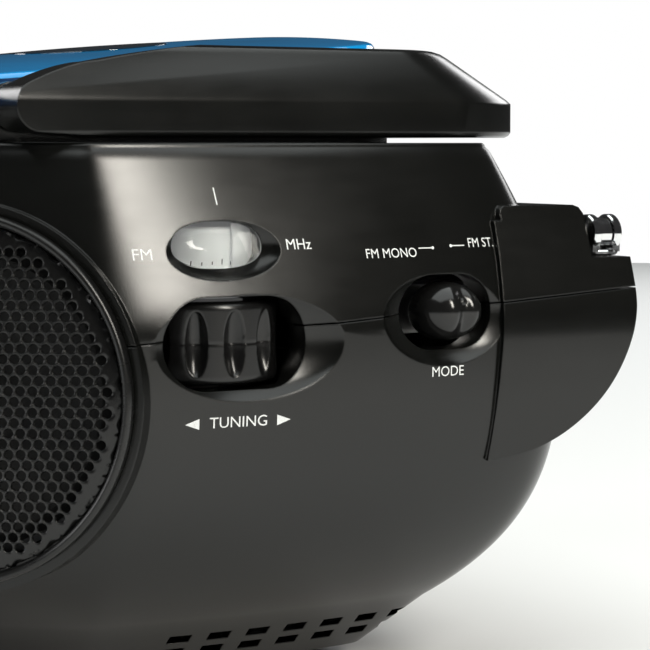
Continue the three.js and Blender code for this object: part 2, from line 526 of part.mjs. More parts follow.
// ---------------------------------------------------------------- speakers
for (const s of [1, -1]) {
  const side = s > 0 ? 'right' : 'left', d = dir(s), at = (v) => along(s, v);
  const dome = [], R = SPK_R;
  for (let i = 0; i <= 5; i++) dome.push([(R - 0.8) * i / 5, 0.9 + 4.6 * (1 - (i / 5) ** 2)]);
  node(`speaker_grille_${side}`, turn([...dome, ...[...dome].reverse().map(([r, z]) => [r, z - 0.9])],
    at(GAP), d, 32), 0x0c0d0e, 0.6, 0.4);
  node(`grille_ring_${side}`, turn([[R - 0.4, GAP], [R + 1.3, GAP], [R + 1.3, 2.2], [R + 0.6, 2.8],
    [R - 0.4, 2.2]], at(0), d, 40), 0x16181a, 0.3);
  node(`speaker_frame_${side}`, turn([[0, -30.5], [17, -30.5], [17, -21.5], [15, -21.5],
    [29.4, -11.2], [31.8, -11.2], [31.8, -8.9], [29, -8.9], [12.6, -21], [0, -21]], at(0), d, 28),
  0x55585c, 0.45, 0.6);
  node(`speaker_cone_${side}`, turn([[0, -17.4], [7, -18.6], [9.5, -18.6], [26, -7.6], [27.6, -6.7],
    [29.8, -8.5], [29.8, -7.9], [27.6, -6], [25.4, -6.9], [9, -17.6], [6, -17.4], [0, -15.4]], at(0), d, 28),
  0x202122, 0.8);
}

// ---------------------------------------------------------------- side controls
const wheelPlan = (r, n = 12) => {
  const pts = [];
  for (let i = 0; i < n * 5; i++) {
    const a = 2 * Math.PI * i / (n * 5), dip = Math.max(0, Math.cos(n * a)) ** 0.7;
    pts.push([WHEEL_X + (r - 1.2 * dip) * Math.cos(a), WHEEL_Y + (r - 1.2 * dip) * Math.sin(a)]);
  }
  return pts;
};
const wz = WHEEL_Z - WHEEL_H / 2;
const rim = turn([[0, wz], [WHEEL_R - 1.8, wz], [WHEEL_R, wz + 1.8], [WHEEL_R, wz + WHEEL_H - 1.8],
  [WHEEL_R - 1.8, wz + WHEEL_H], [0, wz + WHEEL_H]], [WHEEL_X, WHEEL_Y, 0], [0, 0, 1], 40);
const wheel = prism(wheelPlan(WHEEL_R), wz - 1, wz + WHEEL_H + 1).intersect(rim)
  .subtract(cyl(3.3, 30, [WHEEL_X, WHEEL_Y, 60], [0, 0, 1], 20));
const potBody = (h) => box(WHEEL_X - 12, WHEEL_X + 6, WHEEL_Y - 10, WHEEL_Y + 10, 64 - h, 64)
  .intersect(skin(-4)).add(cyl(3, WHEEL_Z + 6 - 63, [WHEEL_X, WHEEL_Y, 63], [0, 0, 1], 20));
node('tuning_wheel', wheel, 0x0e0f10, 0.35);
node('dial_drum', cyl(8, 13.8, [WHEEL_X, WHEEL_Y, WHEEL_Z + WHEEL_H / 2 + GAP], [0, 0, 1], 32),
  0xf0f0ec, 0.5);
node('tuning_capacitor', potBody(16), 0xd8d8d0, 0.4);
node('volume_wheel', flip(wheel), 0x0e0f10, 0.35);
node('volume_control', flip(potBody(8)), 0x3c4650, 0.4);
node('dial_window', prismX(stadium(9.3, 4.1).map(([a, b]) => [WINDOW_Y + a, WINDOW_Z + b]), 90, 120)
  .intersect(skin(-0.8)).subtract(skin(-2.2)), 0xe8eef0, 0.05);
const knobY = SLOT_Y + KNOB_AT;
const knob = ellipsoid(7, KNOB_HALF, KNOB_ZH, [CASE_HALF - 5.4, knobY, SLOT_Z])
  .intersect(box(CASE_HALF - 8, CASE_HALF + 5, 0, 90, 0, 120))
  .add(box(CASE_HALF - 13.6, CASE_HALF - 7, knobY - 3, knobY + 3, SLOT_Z - 2, SLOT_Z + 2));
node('mode_slider', knob, 0x0e0f10, 0.3);
node('function_slider', flip(knob), 0x0e0f10, 0.3);
const sw = box(CASE_HALF - 24, CASE_HALF - 14, SLOT_Y - 12, SLOT_Y + 12, SLOT_Z - 5, SLOT_Z + 5);
node('mode_switch', sw, 0xa8abae, 0.35, 0.8);
node('function_switch', flip(sw), 0xa8abae, 0.35, 0.8);

// ---------------------------------------------------------------- antenna
const rod = (r, x0, x1) => cyl(r, x1 - x0, [x0, ANT_Y, ANT_Z], [1, 0, 0], 20);
const cheek = (y0, y1) => cyl(4, y1 - y0, [ANT_X, y0, ANT_Z], [0, 1, 0], 24)
  .add(box(ANT_X - 3, ANT_X + 3, y0, y1, LEDGE_Z + 1, ANT_Z));
node('antenna_base', cyl(4.1, 1.1, [ANT_X, ANT_Y, LEDGE_Z + GAP], [0, 0, 1], 24)
  .add(cyl(2.1, 6, [ANT_X, ANT_Y, LEDGE_Z - 5], [0, 0, 1], 20))
  .add(cheek(ANT_Y - 3.6, ANT_Y - 1.6)).add(cheek(ANT_Y + 1.6, ANT_Y + 3.6))
  .add(cyl(1.2, 6, [ANT_X, ANT_Y - 3, ANT_Z], [0, 1, 0], 16)), 0xd4d7da, 0.12, 1);
const ANT_TIP = -106;
node('antenna_tube_1', rod(3.5, ANT_TIP + 4, ANT_X - 5.5).subtract(rod(2.9, ANT_TIP, ANT_X - 10))
  .add(cyl(3.2, 2.6, [ANT_X, ANT_Y - 1.3, ANT_Z], [0, 1, 0], 24))
  .add(box(ANT_X - 8, ANT_X, ANT_Y - 1.3, ANT_Y + 1.3, ANT_Z - 2, ANT_Z + 2))
  .subtract(cyl(1.5, 6, [ANT_X, ANT_Y - 3, ANT_Z], [0, 1, 0], 20)), 0xd4d7da, 0.12, 1);
node('antenna_tube_2', rod(2.6, ANT_TIP + 3, ANT_X - 12).subtract(rod(2.1, ANT_TIP, ANT_X - 14)),
  0xd4d7da, 0.12, 1);
node('antenna_tube_3', rod(1.8, ANT_TIP + 2, ANT_X - 16).subtract(rod(1.35, ANT_TIP, ANT_X - 18)),
  0xd4d7da, 0.12, 1);
node('antenna_tip', rod(1.05, ANT_TIP - 1, ANT_X - 20).add(rod(3.4, ANT_TIP - 3, ANT_TIP + 1.6)),
  0xd4d7da, 0.12, 1);

// ---------------------------------------------------------------- inside and below
node('main_board', box(-46, 46, -62, 14, 50, 51.6).add(box(-30, -12, -20, 0, 51, 56))
  .add(box(8, 30, -40, -22, 51, 58)).add(cyl(5, 14, [20, 0, 51], [0, 0, 1], 20))
  .add(cyl(4, 11, [-38, -40, 51], [0, 0, 1], 20)), 0x1e5a32, 0.6);
node('transformer', box(-52, -14, -34, -4, 7, 39).add(box(-46, -20, -40, 2, 13, 33)), 0x8a5a2c, 0.5);
node('battery_door', slab(0, -2.2, doorBox(0)), 0x101112, 0.42);
const spring = (x0, dirX) => [0, 1].map((k) => cyl(5.5, 7, [x0, 34 + 24 * k, 25],
  [dirX, 0, 0], 20, 2.6));
node('battery_contact_right', box(BAY_HALF - 1.1, BAY_HALF - GAP, 26, 64, 18, 33)
  .add(all(spring(BAY_HALF - 0.9, -1))), 0xc8ccd0, 0.3, 0.9);
node('battery_contact_left', box(-BAY_HALF + GAP, -BAY_HALF + 1.1, 26, 64, 18, 33)
  .add(all(spring(-BAY_HALF + 0.9, 1))), 0xc8ccd0, 0.3, 0.9);
node('mains_inlet', box(INLET_X - 8.7, INLET_X + 8.7, 78, 91, INLET_Z - 5.2, INLET_Z + 5.2)
  .subtract(prism(stadium(6.2, 3.6), 0, 8).rotate([90, 0, 0]).translate([INLET_X, 92, INLET_Z]))
  .add(cyl(1, 9, [INLET_X - 3, 82, INLET_Z], [0, 1, 0], 12))
  .add(cyl(1, 9, [INLET_X + 3, 82, INLET_Z], [0, 1, 0], 12)), 0x1a1b1c, 0.5);
for (const [name, x, y] of [['front_right', 34, -40], ['front_left', -34, -40],
  ['rear_right', 50, 42], ['rear_left', -50, 42]]) {
  node(`foot_${name}`, turn([[0, 0], [6, 0], [7, 0.8], [7, FOOT_H - GAP], [0, FOOT_H - GAP]],
    [x, y, 0], [0, 0, 1], 24), 0x1b1b1b, 0.9);
}

export default group;
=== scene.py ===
# Portable CD player with FM radio, put together in the order a maker would: case, speakers,
# side controls, front panel, disc deck, lid, handle, antenna, the works inside, then the studio.
import numpy as np
import bmesh
import bpy
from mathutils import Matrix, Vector


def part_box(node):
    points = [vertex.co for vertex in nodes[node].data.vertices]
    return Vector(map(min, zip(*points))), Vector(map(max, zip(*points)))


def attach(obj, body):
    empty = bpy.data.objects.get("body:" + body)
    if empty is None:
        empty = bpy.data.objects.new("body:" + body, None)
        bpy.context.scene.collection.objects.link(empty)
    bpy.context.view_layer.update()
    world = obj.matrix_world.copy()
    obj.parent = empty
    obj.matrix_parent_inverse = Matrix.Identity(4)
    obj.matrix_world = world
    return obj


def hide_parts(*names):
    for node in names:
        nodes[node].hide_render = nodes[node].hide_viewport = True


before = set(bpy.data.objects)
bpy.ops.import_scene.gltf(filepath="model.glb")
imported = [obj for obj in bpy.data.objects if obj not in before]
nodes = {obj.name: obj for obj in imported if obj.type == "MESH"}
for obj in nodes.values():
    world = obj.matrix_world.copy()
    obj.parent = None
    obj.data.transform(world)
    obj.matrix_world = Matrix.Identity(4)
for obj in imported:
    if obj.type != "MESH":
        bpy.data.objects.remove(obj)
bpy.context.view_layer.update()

# ---------------------------------------------------------------- the two case halves
# A bowl-shaped case moulded in black ABS in two halves, which meet on a seam that climbs to the
# back. The walls lean in above the seam; below it they round down to a crease and a sloping band.
MM = 0.001
PLAN = np.array([[34.2, -81.6], [96, -17.1], [96, 74]]) / 2 ** (1 / 20)
SEAM_Z, SEAM_RISE, DECK_Z, CREASE_Z, BASE_Z = 75.3, 0.065, 112.0, 14.5, 3.0


def case_ring(angle, grow, scale, lean):
    """The case's plan at one height: the polygon's support distance in a 20-power mean, grown
    by the 16 mm corner radius, drawn in by lean (most at the back); returns x and y."""
    c, s = np.cos(angle), np.sin(angle)
    p = np.vstack([PLAN, PLAN * [-1, 1]])
    h = np.maximum(p[:, :1] * c + p[:, 1:] * s, 1e-9)
    t = -p[:, :1] * s + p[:, 1:] * c
    far = (h ** 20).sum(0) ** 0.05
    d = far ** -19 * (h ** 19 * t).sum(0)
    r = far * scale + 16 + grow - lean * (0.75 + 0.25 * s)
    e = d * scale - lean * 0.25 * c
    return r * c - e * s, r * s + e * c


def case_level(z):
    """How the plan is grown, scaled and leant at height z: a power curve each way from the
    seam, and a straight slope below the crease."""
    if z >= SEAM_Z:
        return 0.0, 1.0, 17 * ((z - SEAM_Z) / (DECK_Z - SEAM_Z)) ** 1.3
    if z >= CREASE_Z:
        u = (SEAM_Z - z) / (SEAM_Z - CREASE_Z)
        return -10 * u ** 3, 1 - 0.17 * u ** 3.6, 0.0
    return -10.0, 0.83 - 0.13 * (CREASE_Z - z) / (CREASE_Z - BASE_Z), 0.0


def add_object(name, data):
    o = bpy.data.objects.new(name, data)
    bpy.context.scene.collection.objects.link(o)
    return o


def mesh_piece(name, verts, faces, smooth=True):
    """A mesh object from points in millimetres and faces by index."""
    me = bpy.data.meshes.new(name)
    me.from_pydata((np.asarray(verts, float) * MM).tolist(), [], [list(map(int, f)) for f in faces])
    me.validate()
    me.shade_smooth() if smooth else me.shade_flat()
    return add_object(name, me)


def stacked(name, rings):
    """A closed solid from rings of equal count, one above the other, fanned shut at both ends
    about their middles. The rings run anticlockwise seen from above."""
    r = np.asarray(rings, float)
    k, n = r.shape[:2]
    i, j = np.meshgrid(np.arange(n), np.arange(k - 1))
    a, b = j * n + i, j * n + (i + 1) % n
    walls = np.stack([a, b, b + n, a + n], -1).reshape(-1, 4)
    m = np.arange(n)
    low = np.stack([(m + 1) % n, m, np.full(n, k * n)], -1)
    high = np.stack([(k - 1) * n + m, (k - 1) * n + (m + 1) % n, np.full(n, k * n + 1)], -1)
    pts = np.vstack([r.reshape(-1, 3), r[0].mean(0), r[-1].mean(0)])
    return mesh_piece(name, pts, walls.tolist() + low.tolist() + high.tolist())


def case_solid(name, heights, grow, turns=360, fillet=0.0):
    angle = 2 * np.pi * (np.arange(turns) + 0.5) / turns
    rings = []
    for z in heights:
        g, s, lean = case_level(z)
        x, y = case_ring(angle, g + grow, s, lean)
        rings.append(np.stack([x, y, np.full(turns, z)], -1))
    rings[0][:, 2] -= grow
    rings[-1][:, 2] += grow
    if fillet:
        top = rings[-1].copy()
        g, s, lean = case_level(heights[-1])
        rings[-1][:, 2] -= fillet
        for t in np.linspace(0.2, 1, 5) * np.pi / 2:
            x, y = case_ring(angle, g + grow - fillet * (1 - np.cos(t)), s, lean)
            rings.append(np.stack([x, y, top[:, 2] - fillet * (1 - np.sin(t))], -1))
    return stacked(name, rings)


def combine(base, tools, how):
    """Boolean work on solids, one tool after another; the tools are thrown away."""
    for tool in tools:
        m = base.modifiers.new("join", "BOOLEAN")
        m.solver, m.operation, m.object = "MANIFOLD", how, tool
        deps = bpy.context.evaluated_depsgraph_get()
        me = bpy.data.meshes.new_from_object(base.evaluated_get(deps))
        base.modifiers.clear()
        base.data = me
    for tool in tools:
        bpy.data.objects.remove(tool)
    return base


def join(base, *tools):
    """Base and tools as one solid."""
    return combine(base, tools, "UNION")


def cut(base, *tools):
    """The base with the tools taken out of it."""
    return combine(base, tools, "DIFFERENCE")


def keep(base, *tools):
    """What the base and the tools have in common."""
    return combine(base, tools, "INTERSECT")


def area_of(p):
    """Twice a closed outline's area, less than nothing when it runs clockwise."""
    return np.sum(p[:, 0] * np.roll(p[:, 1], -1) - np.roll(p[:, 0], -1) * p[:, 1])


def prism(name, outline, low, high, axis="z"):
    """A closed outline carried straight along an axis. On x the outline is [y, z], on y it is
    [x, z], on z it is [x, y]."""
    p = np.asarray(outline, float)
    if (area_of(p) < 0) != (axis == "y"):
        p = p[::-1]
    place = {"x": lambda d: np.column_stack([np.full(len(p), d), p]),
             "y": lambda d: np.column_stack([p[:, 0], np.full(len(p), d), p[:, 1]]),
             "z": lambda d: np.column_stack([p, np.full(len(p), d)])}[axis]
    n = len(p)
    walls = [[i, (i + 1) % n, (i + 1) % n + n, i + n] for i in range(n)]
    return mesh_piece(name, np.vstack([place(low), place(high)]),
                      walls + [list(range(n))[::-1], list(range(n, 2 * n))])


def block(x0, x1, y0, y1, z0, z1):
    return prism("block", [[x0, y0], [x1, y0], [x1, y1], [x0, y1]], z0, z1)


def side_block(k, x0, x1, *yz):
    """A block from x0 out to x1 on the right (k = 1) or the left (k = -1)."""
    return block(*sorted((k * x0, k * x1)), *yz)


def turned(name, profile, at=(0, 0, 0), towards=(0, 0, 1), sides=96):
    """A lathe piece: a closed profile of [radius, height] turned about a line through at."""
    p = np.asarray(profile, float)
    if area_of(p) < 0:
        p = p[::-1]
    a = 2 * np.pi * np.arange(sides) / sides
    pts = np.stack([p[:, None, 0] * np.cos(a), p[:, None, 0] * np.sin(a),
                    np.repeat(p[:, None, 1], sides, 1)], -1).reshape(-1, 3)
    k = len(p)
    i, j = np.meshgrid(np.arange(sides), np.arange(k))
    u, v = j * sides + i, j * sides + (i + 1) % sides
    w, x = (j + 1) % k * sides + (i + 1) % sides, (j + 1) % k * sides + i
    turn = np.array(Vector((0, 0, 1)).rotation_difference(Vector(towards)).to_matrix())
    o = mesh_piece(name, pts @ turn.T + np.asarray(at), np.stack([u, v, w, x], -1).reshape(-1, 4))
    weld_doubles(o)
    return o


def read(items, what):
    """A vector property of a mesh's vertices or faces, one row each."""
    p = np.empty(len(items) * 3)
    items.foreach_get(what, p)
    return p.reshape(-1, 3)


def weld_doubles(o):
    bm = bmesh.new()
    bm.from_mesh(o.data)
    bmesh.ops.remove_doubles(bm, verts=bm.verts, dist=1e-7)
    bmesh.ops.dissolve_degenerate(bm, edges=bm.edges, dist=1e-8)
    bm.to_mesh(o.data)
    bm.free()


def rod(r, length, at, towards=(0, 0, 1), sides=96, r_end=None):
    e = r if r_end is None else r_end
    return turned("rod", [[0, 0], [r, 0], [e, length], [0, length]], at, towards, sides)


def egg(a, b, c, at):
    """An ellipsoid of three half axes."""
    u = np.linspace(0, np.pi, 49)[1:-1, None]
    v = 2 * np.pi * np.arange(96) / 96
    p = np.stack([np.sin(u) * np.cos(v), np.sin(u) * np.sin(v), np.repeat(-np.cos(u), 96, 1)], -1)
    return stacked("egg", p * [a, b, c] + np.asarray(at, float))


def slot_outline(half, r, at=(0, 0), steps=20):
    """A stadium: two half circles of radius r, 2 * half long over all."""
    t = np.linspace(-np.pi / 2, np.pi / 2, steps)
    right = np.stack([half - r + r * np.cos(t), r * np.sin(t)], -1)
    return np.vstack([right, -right]) + np.asarray(at, float)


def dial_outline(half, tall, at=(1, 92.4), steps=72):
    """A super-ellipse of power 2.3, for the dial window and its hole."""
    t = 2 * np.pi * np.arange(steps) / steps
    c, q = np.cos(t), np.sin(t)
    return np.stack([half * np.sign(c) * np.abs(c) ** 0.87,
                     tall * np.sign(q) * np.abs(q) ** 0.87], -1) + np.asarray(at, float)


def seam_half(side, gap=0.15):
    y = np.array([-200.0, 200.0])
    z = SEAM_Z + SEAM_RISE * y + side * gap
    far = -40 if side < 0 else 260
    return prism("half", [[-200, z[0]], [200, z[1]], [200, far], [-200, far]], -200, 200, "x")


def smooth_by_angle(o, degrees=28):
    o.data.shade_smooth()
    o.data.set_sharp_from_angle(angle=np.radians(degrees))


LOW = np.concatenate([np.linspace(BASE_Z, CREASE_Z, 5), np.linspace(CREASE_Z, SEAM_Z, 42)[1:]])
HIGH = np.linspace(SEAM_Z, DECK_Z, 22)[1:]
skin = case_solid("case", np.concatenate([LOW, HIGH]), 0, fillet=0.8)


def case_like(grow, low=3, high=3, turns=180, name="case again"):
    """The case once more, grown by so much and drawn from every so many of its heights."""
    return case_solid(name, np.concatenate([LOW[::low], HIGH[::high], [DECK_Z]]), grow, turns)


room = case_like(-2.4, 5, 4, 120)

# The rear bar is moulded with the halves: a quarter-round underside, flat ends that keep to the
# walls' own draft, a raised block along its top and a low ledge behind it for the antenna.
BAR_FRONT, BAR_REAR, BAR_TOP, BAR_LOW, LEDGE_Y, LEDGE_Z = 61.2, 98.1, 96.0, 47.0, 88.2, 88.0
BAR_END = np.array([[40, 108], [50, 109.9], [60, 111.1], [70, 111.4], [75, 111.4], [80, 110.5],
                    [85, 109], [90, 107.4], [96, 105.1], [101, 102.9]])


def bar_outline(o, steps=40):
    """The bar's end, [y, z]: a quarter ellipse from its foot to the seam, then ledge and top,
    and a front edge that bows back 4 mm on its way up."""
    top, t = SEAM_Z + SEAM_RISE * BAR_REAR, np.linspace(0, np.pi / 2, steps)
    arc = np.stack([BAR_FRONT + o + (BAR_REAR - BAR_FRONT - 2 * o) * np.sin(t),
                    top - (top - BAR_LOW - o) * np.cos(t)], -1)
    front = np.array([[65.2, BAR_TOP - o], [64.8, 89], [64.2, 82], [63.4, 70], [62.3, 58]])
    return np.vstack([front + [o, 0], arc,
                      [[BAR_REAR - o, LEDGE_Z - o], [LEDGE_Y - o, LEDGE_Z - o],
                       [LEDGE_Y - o, BAR_TOP - o]]])


def draft(o):
    """All that lies within the bar's two ends, which lean with the walls."""
    z = np.linspace(40, 101, 62)
    x = np.interp(z, *BAR_END.T)
    x = np.convolve(np.pad(x, 3, "edge"), np.ones(7) / 7, "valid") - o
    return prism("draft", np.vstack([np.column_stack([x, z]), np.column_stack([-x, z])[::-1]]),
                 0, 130, "y")


def bar_block(o):
    ridge = np.array([[67.0, 94.0], [67.0, 97.2], [67.4, 98.4], [68.4, 99.0], [86.0, 99.0],
                      [87.4, 98.5], [88.2, 97.2], [88.2, 94.0]])
    solid = prism("bar", bar_outline(o), -115, 115, "x")
    if o == 0:
        join(solid, prism("ridge", ridge, -115, 115, "x"))
    return keep(solid, draft(o))


join(skin, bar_block(0))
join(room, bar_block(2.4))

# The middle of the deck stands 7 mm proud between the handle arms, round the disc well, and its
# front runs right across the case and slopes down to the front panel.
angle = 2 * np.pi * (np.arange(240) + 0.5) / 240


def deck_ring(z, grow):
    x, y = case_ring(angle, grow - 2, 1.0, 17.0)
    return np.stack([x, y, np.full(240, z)], -1)


def corner(x, y, r, steps):
    """A quarter circle of radius r that rounds off the corner x, y."""
    t = np.linspace(0, np.pi / 2, steps)
    return np.stack([x - r + r * np.cos(t), y - r + r * np.sin(t)], -1)


def back_round(hx, rear, rc, steps=14, front=-80):
    """A plan, square at the front and rounded at both back corners."""
    right = corner(hx, rear, rc, steps)
    return np.vstack([[[-hx, front], [hx, front]], right, right[::-1] * [-1, 1]])


def raised_deck(o):
    front = stacked("front deck", [deck_ring(100 + o, -o), deck_ring(117 - o, -o),
                                   deck_ring(118.2 - o, -0.5 - o), deck_ring(118.8 - o, -1.2 - o),
                                   deck_ring(119 - o, -2 - o)])
    keep(front, block(-120, 120, -120, -45 - o, 90, 130))
    cut(front, prism("slope", [[-66, 119.4 - o], [-120, 105 - o], [-120, 140], [-66, 140]],
                     -130, 130, "x"))
    middle = prism("middle deck", back_round(82 - o, 61 - o, 17), 100 + o, 119 - o)
    keep(middle, block(-82, 82, -60, 70, 90, 130),
         stacked("trim", [deck_ring(80, -o), deck_ring(140, -o)]))
    return join(middle, front)


join(skin, raised_deck(0))
join(room, raised_deck(2.4))

# Flat round seats for the drivers are let into both front corners, with a hole for the cone.
SPK_AT, SPK_R = np.array([86.0, -45.2, 63.5]), 34.5
az, tilt = np.radians(46), np.radians(2)
SPK_WAY = np.array([np.sin(az) * np.cos(tilt), -np.cos(az) * np.cos(tilt), np.sin(tilt)])
LEFT = np.array([-1, 1, 1])
for side in (np.ones(3), LEFT):
    way = SPK_WAY * side
    spot = lambda d: SPK_AT * side + d * way
    join(skin, rod(SPK_R + 3.2, 24, spot(-24), way, 144))
    cut(skin, rod(SPK_R + 1.6, 40, spot(0), way, 144))
    cut(room, rod(SPK_R + 5, 9, spot(-8.4), way, 96))

# Dished recesses in the walls hold the thumb wheels and slides, with thick pads behind them; the
# right wall has a dished oval for the dial window too.
WHEEL_AT, WHEEL_R, WHEEL_H = np.array([95.0, 3.0, 73.6]), 14.6, 16.0
SLOT_Y, SLOT_Z = 51.0, 78.0
pads, cuts = [], []
for k in (1, -1):
    pads += [side_block(k, 102, 117, -22, 28, 59.6, 86.6), side_block(k, 102, 117, 32, 70, 65, 90)]
    cuts += [egg(7.5, 24, 12.5, (k * 114.6, 3, 73.6)), egg(8, 18, 12, (k * 115, SLOT_Y, SLOT_Z)),
             prism("wheel hole", slot_outline(15.5, 9, (3, 73.6)), *sorted((k * 82, k * 122)), "x"),
             prism("slide hole", slot_outline(11, 7.6, (SLOT_Y, SLOT_Z)),
                   *sorted((k * 82, k * 122)), "x")]
pads.append(keep(block(99, 112, -13, 15, 85.4, 99.9), case_like(-0.5, 5, 4, 120)))
driver_room = [rod(SPK_R + 0.6, 26, SPK_AT * s - 34.6 * SPK_WAY * s, SPK_WAY * s)
               for s in (np.ones(3), LEFT)]
cut(room, *pads)
join(room, *driver_room)
for k in (1, -1):
    join(room, rod(WHEEL_R + 0.8, WHEEL_H + 2, (k * 95, 3, 64.6)))
join(room, rod(9, 15, (95, 3, 81.6)))
cuts += [egg(6, 13.4, 6.8, (109, 1, 92.4)),
         prism("dial hole", dial_outline(9.7, 4.6), 92, 120, "x")]
cut(skin, room)
cut(skin, *cuts)
ears = bar_block(0)
cut(ears, draft(2.4), block(-130, 130, 88, 130, 30, 130))
join(skin, ears)

# Round driver holes, the sunken bed of the front panel, its display and key holes, the well
# opening, the battery door opening, vents in the sloping band, inlet, pivot and stud holes.
more = [rod(SPK_R - 3, 40, SPK_AT * s - 30 * SPK_WAY * s, SPK_WAY * s) for s in (np.ones(3), LEFT)]
bed = cut(case_like(3), case_like(-1.2))
keep(bed, block(-30.3, 30.3, -130, -60, 29.7, 106.3))
KEYS = [(x, z) for z in (70, 52) for x in (-17, 0, 17)]
more += [bed] + [rod(5.3, 40, (x, -120, z), (0, 1, 0), 48) for x, z in KEYS]
more += [block(-20, 20, -130, -80, 86, 98), rod(63.8, 30, (0, -9, 100)),
         block(-72.3, 72.3, 50, 110, 16.7, 42.3), block(-89, -71, 85, 100, 64.5, 75.5),
         rod(2.4, 8, (102.5, 93.7, 82))]
for k in (1, -1):
    more += [side_block(k, 60, 110, 2 + 9 * i, 7 + 9 * i, *slit) for i in range(7)
             for slit in ((6.4, 8.2), (9.8, 11.6))]
cut(skin, *more)
PIVOT, PIN = (-31.0, 118.9), (55.0, 129.5)
bay = block(-81, 81, 22, 92, 4, 45)
cut(bay, block(-79, 79, 24, 110, 4, 43))
keep(bay, case_like(-1, 5, 4, 120))
cut(bay, block(-72.3, 72.3, 50, 110, 16.7, 42.3))
join(skin, bay)
for k in (1, -1):
    tower = side_block(k, 79.2, 82, PIVOT[0] - 5, PIVOT[0] + 5, 115, PIVOT[1])
    join(tower, rod(5, 2.8, (k * 79.2, *PIVOT), (k, 0, 0), 64))
    join(skin, tower)
    cut(skin, rod(3.1, 8, (k * 76.8, *PIVOT), (k, 0, 0), 48))
    lug = block(k * 40 - 3, k * 40 + 3, 52.4, 57.6, 118, 129.5)
    join(lug, rod(2.6, 6, (k * 40 - 3, *PIN), (1, 0, 0), 48))
    cut(lug, rod(1.9, 10, (k * 40 - 5, *PIN), (1, 0, 0), 48))
    join(skin, lug)
lower_case = skin
upper_case = skin.copy()
upper_case.data = skin.data.copy()
bpy.context.scene.collection.objects.link(upper_case)
lower_case.name, upper_case.name = "lower_case", "upper_case"
keep(lower_case, seam_half(-1))
keep(upper_case, seam_half(1))


def new_material(name, colour, rough, metal=0.0, **extra):
    m = bpy.data.materials.new(name)
    m.use_nodes = True
    b = m.node_tree.nodes["Principled BSDF"]
    b.inputs["Base Color"].default_value = (*colour, 1)
    b.inputs["Roughness"].default_value = rough
    b.inputs["Metallic"].default_value = metal
    for key, v in extra.items():
        b.inputs[key.replace("_", " ")].default_value = v
    return m, m.node_tree, b


def link_nodes(tree, *pairs):
    for (a, out), (b, into) in pairs:
        tree.links.new(a.outputs[out], b.inputs[into])


def uneven_gloss(tree, shader, scale, low, high, stretch=None, detail=2):
    """Lets the roughness drift from low to high with a noise of the given scale; stretch scales
    the noise's axes one by one."""
    place, noise = tree.nodes.new("ShaderNodeTexCoord"), tree.nodes.new("ShaderNodeTexNoise")
    level = tree.nodes.new("ShaderNodeMapRange")
    noise.inputs["Scale"].default_value, noise.inputs["Detail"].default_value = scale, detail
    level.inputs["To Min"].default_value, level.inputs["To Max"].default_value = low, high
    source = (place, "Object")
    if stretch:
        rub = tree.nodes.new("ShaderNodeMapping")
        rub.inputs["Scale"].default_value = stretch
        link_nodes(tree, (source, (rub, "Vector")))
        source = (rub, "Vector")
    link_nodes(tree, (source, (noise, "Vector")), ((noise, "Fac"), (level, "Value")),
               ((level, "Result"), (shader, "Roughness")))


def grained_plastic(name, colour, rough, swing=0.06, grain=0.04, edge=0.5, fine=2600, **extra):
    """Moulded plastic: fine grain in the bump, cloudy gloss, faint rub marks in the roughness,
    and softened edges."""
    m, t, b = new_material(name, colour, rough, **extra)
    n = t.nodes.new
    place = n("ShaderNodeTexCoord")
    cloud, specks, rub = n("ShaderNodeTexNoise"), n("ShaderNodeTexNoise"), n("ShaderNodeTexNoise")
    cloud.inputs["Scale"].default_value, cloud.inputs["Detail"].default_value = 34, 4
    specks.inputs["Scale"].default_value, specks.inputs["Detail"].default_value = fine, 2
    stretch = n("ShaderNodeMapping")
    stretch.inputs["Scale"].default_value = (110, 110, 420)
    rub.inputs["Scale"].default_value, rub.inputs["Detail"].default_value = 1.0, 3
    mix = n("ShaderNodeMath")
    mix.operation = "ADD"
    faint = n("ShaderNodeMath")
    faint.operation, faint.inputs[1].default_value = "MULTIPLY", 0.35
    level = n("ShaderNodeMapRange")
    level.inputs["From Min"].default_value, level.inputs["From Max"].default_value = 0.45, 0.9
    level.inputs["To Min"].default_value = rough - swing
    level.inputs["To Max"].default_value = rough + swing
    bump, bevel = n("ShaderNodeBump"), n("ShaderNodeBevel")
    bump.inputs["Strength"].default_value = grain
    bump.inputs["Distance"].default_value = 0.0002
    bevel.samples = 4
    bevel.inputs["Radius"].default_value = edge * MM
    link_nodes(t, ((place, "Object"), (cloud, "Vector")), ((place, "Object"), (specks, "Vector")),
               ((place, "Object"), (stretch, "Vector")), ((stretch, "Vector"), (rub, "Vector")),
               ((cloud, "Fac"), (mix, 0)), ((rub, "Fac"), (faint, 0)), ((faint, 0), (mix, 1)),
               ((mix, 0), (level, "Value")),
               ((level, "Result"), (b, "Roughness")), ((specks, "Fac"), (bump, "Height")),
               ((bevel, "Normal"), (bump, "Normal")), ((bump, "Normal"), (b, "Normal")))
    return m


def paint(o, material):
    o.data.materials.clear()
    o.data.materials.append(material)


def dress(o, material, body=None, stands_for=(), angle=28):
    """Gives a piece its finish, its body and the nodes it stands for."""
    paint(o, material)
    if angle:
        smooth_by_angle(o, angle)
    if body:
        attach(o, body)
    if stands_for:
        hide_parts(*stands_for)
    return o


case_black = grained_plastic("case black", (0.0032, 0.0034, 0.0030), 0.22, swing=0.03, grain=0.02)
dress(lower_case, case_black, "case", ["lower_shell"])
dress(upper_case, case_black, "case", ["upper_shell"])

# ---------------------------------------------------------------- legends
# White pad-printed words and marks on the side walls, generic function names only. Each lies
# 0.04 mm proud of the wall it is printed on.
WALL_ANGLE = np.radians(np.linspace(-89, 89, 1200))


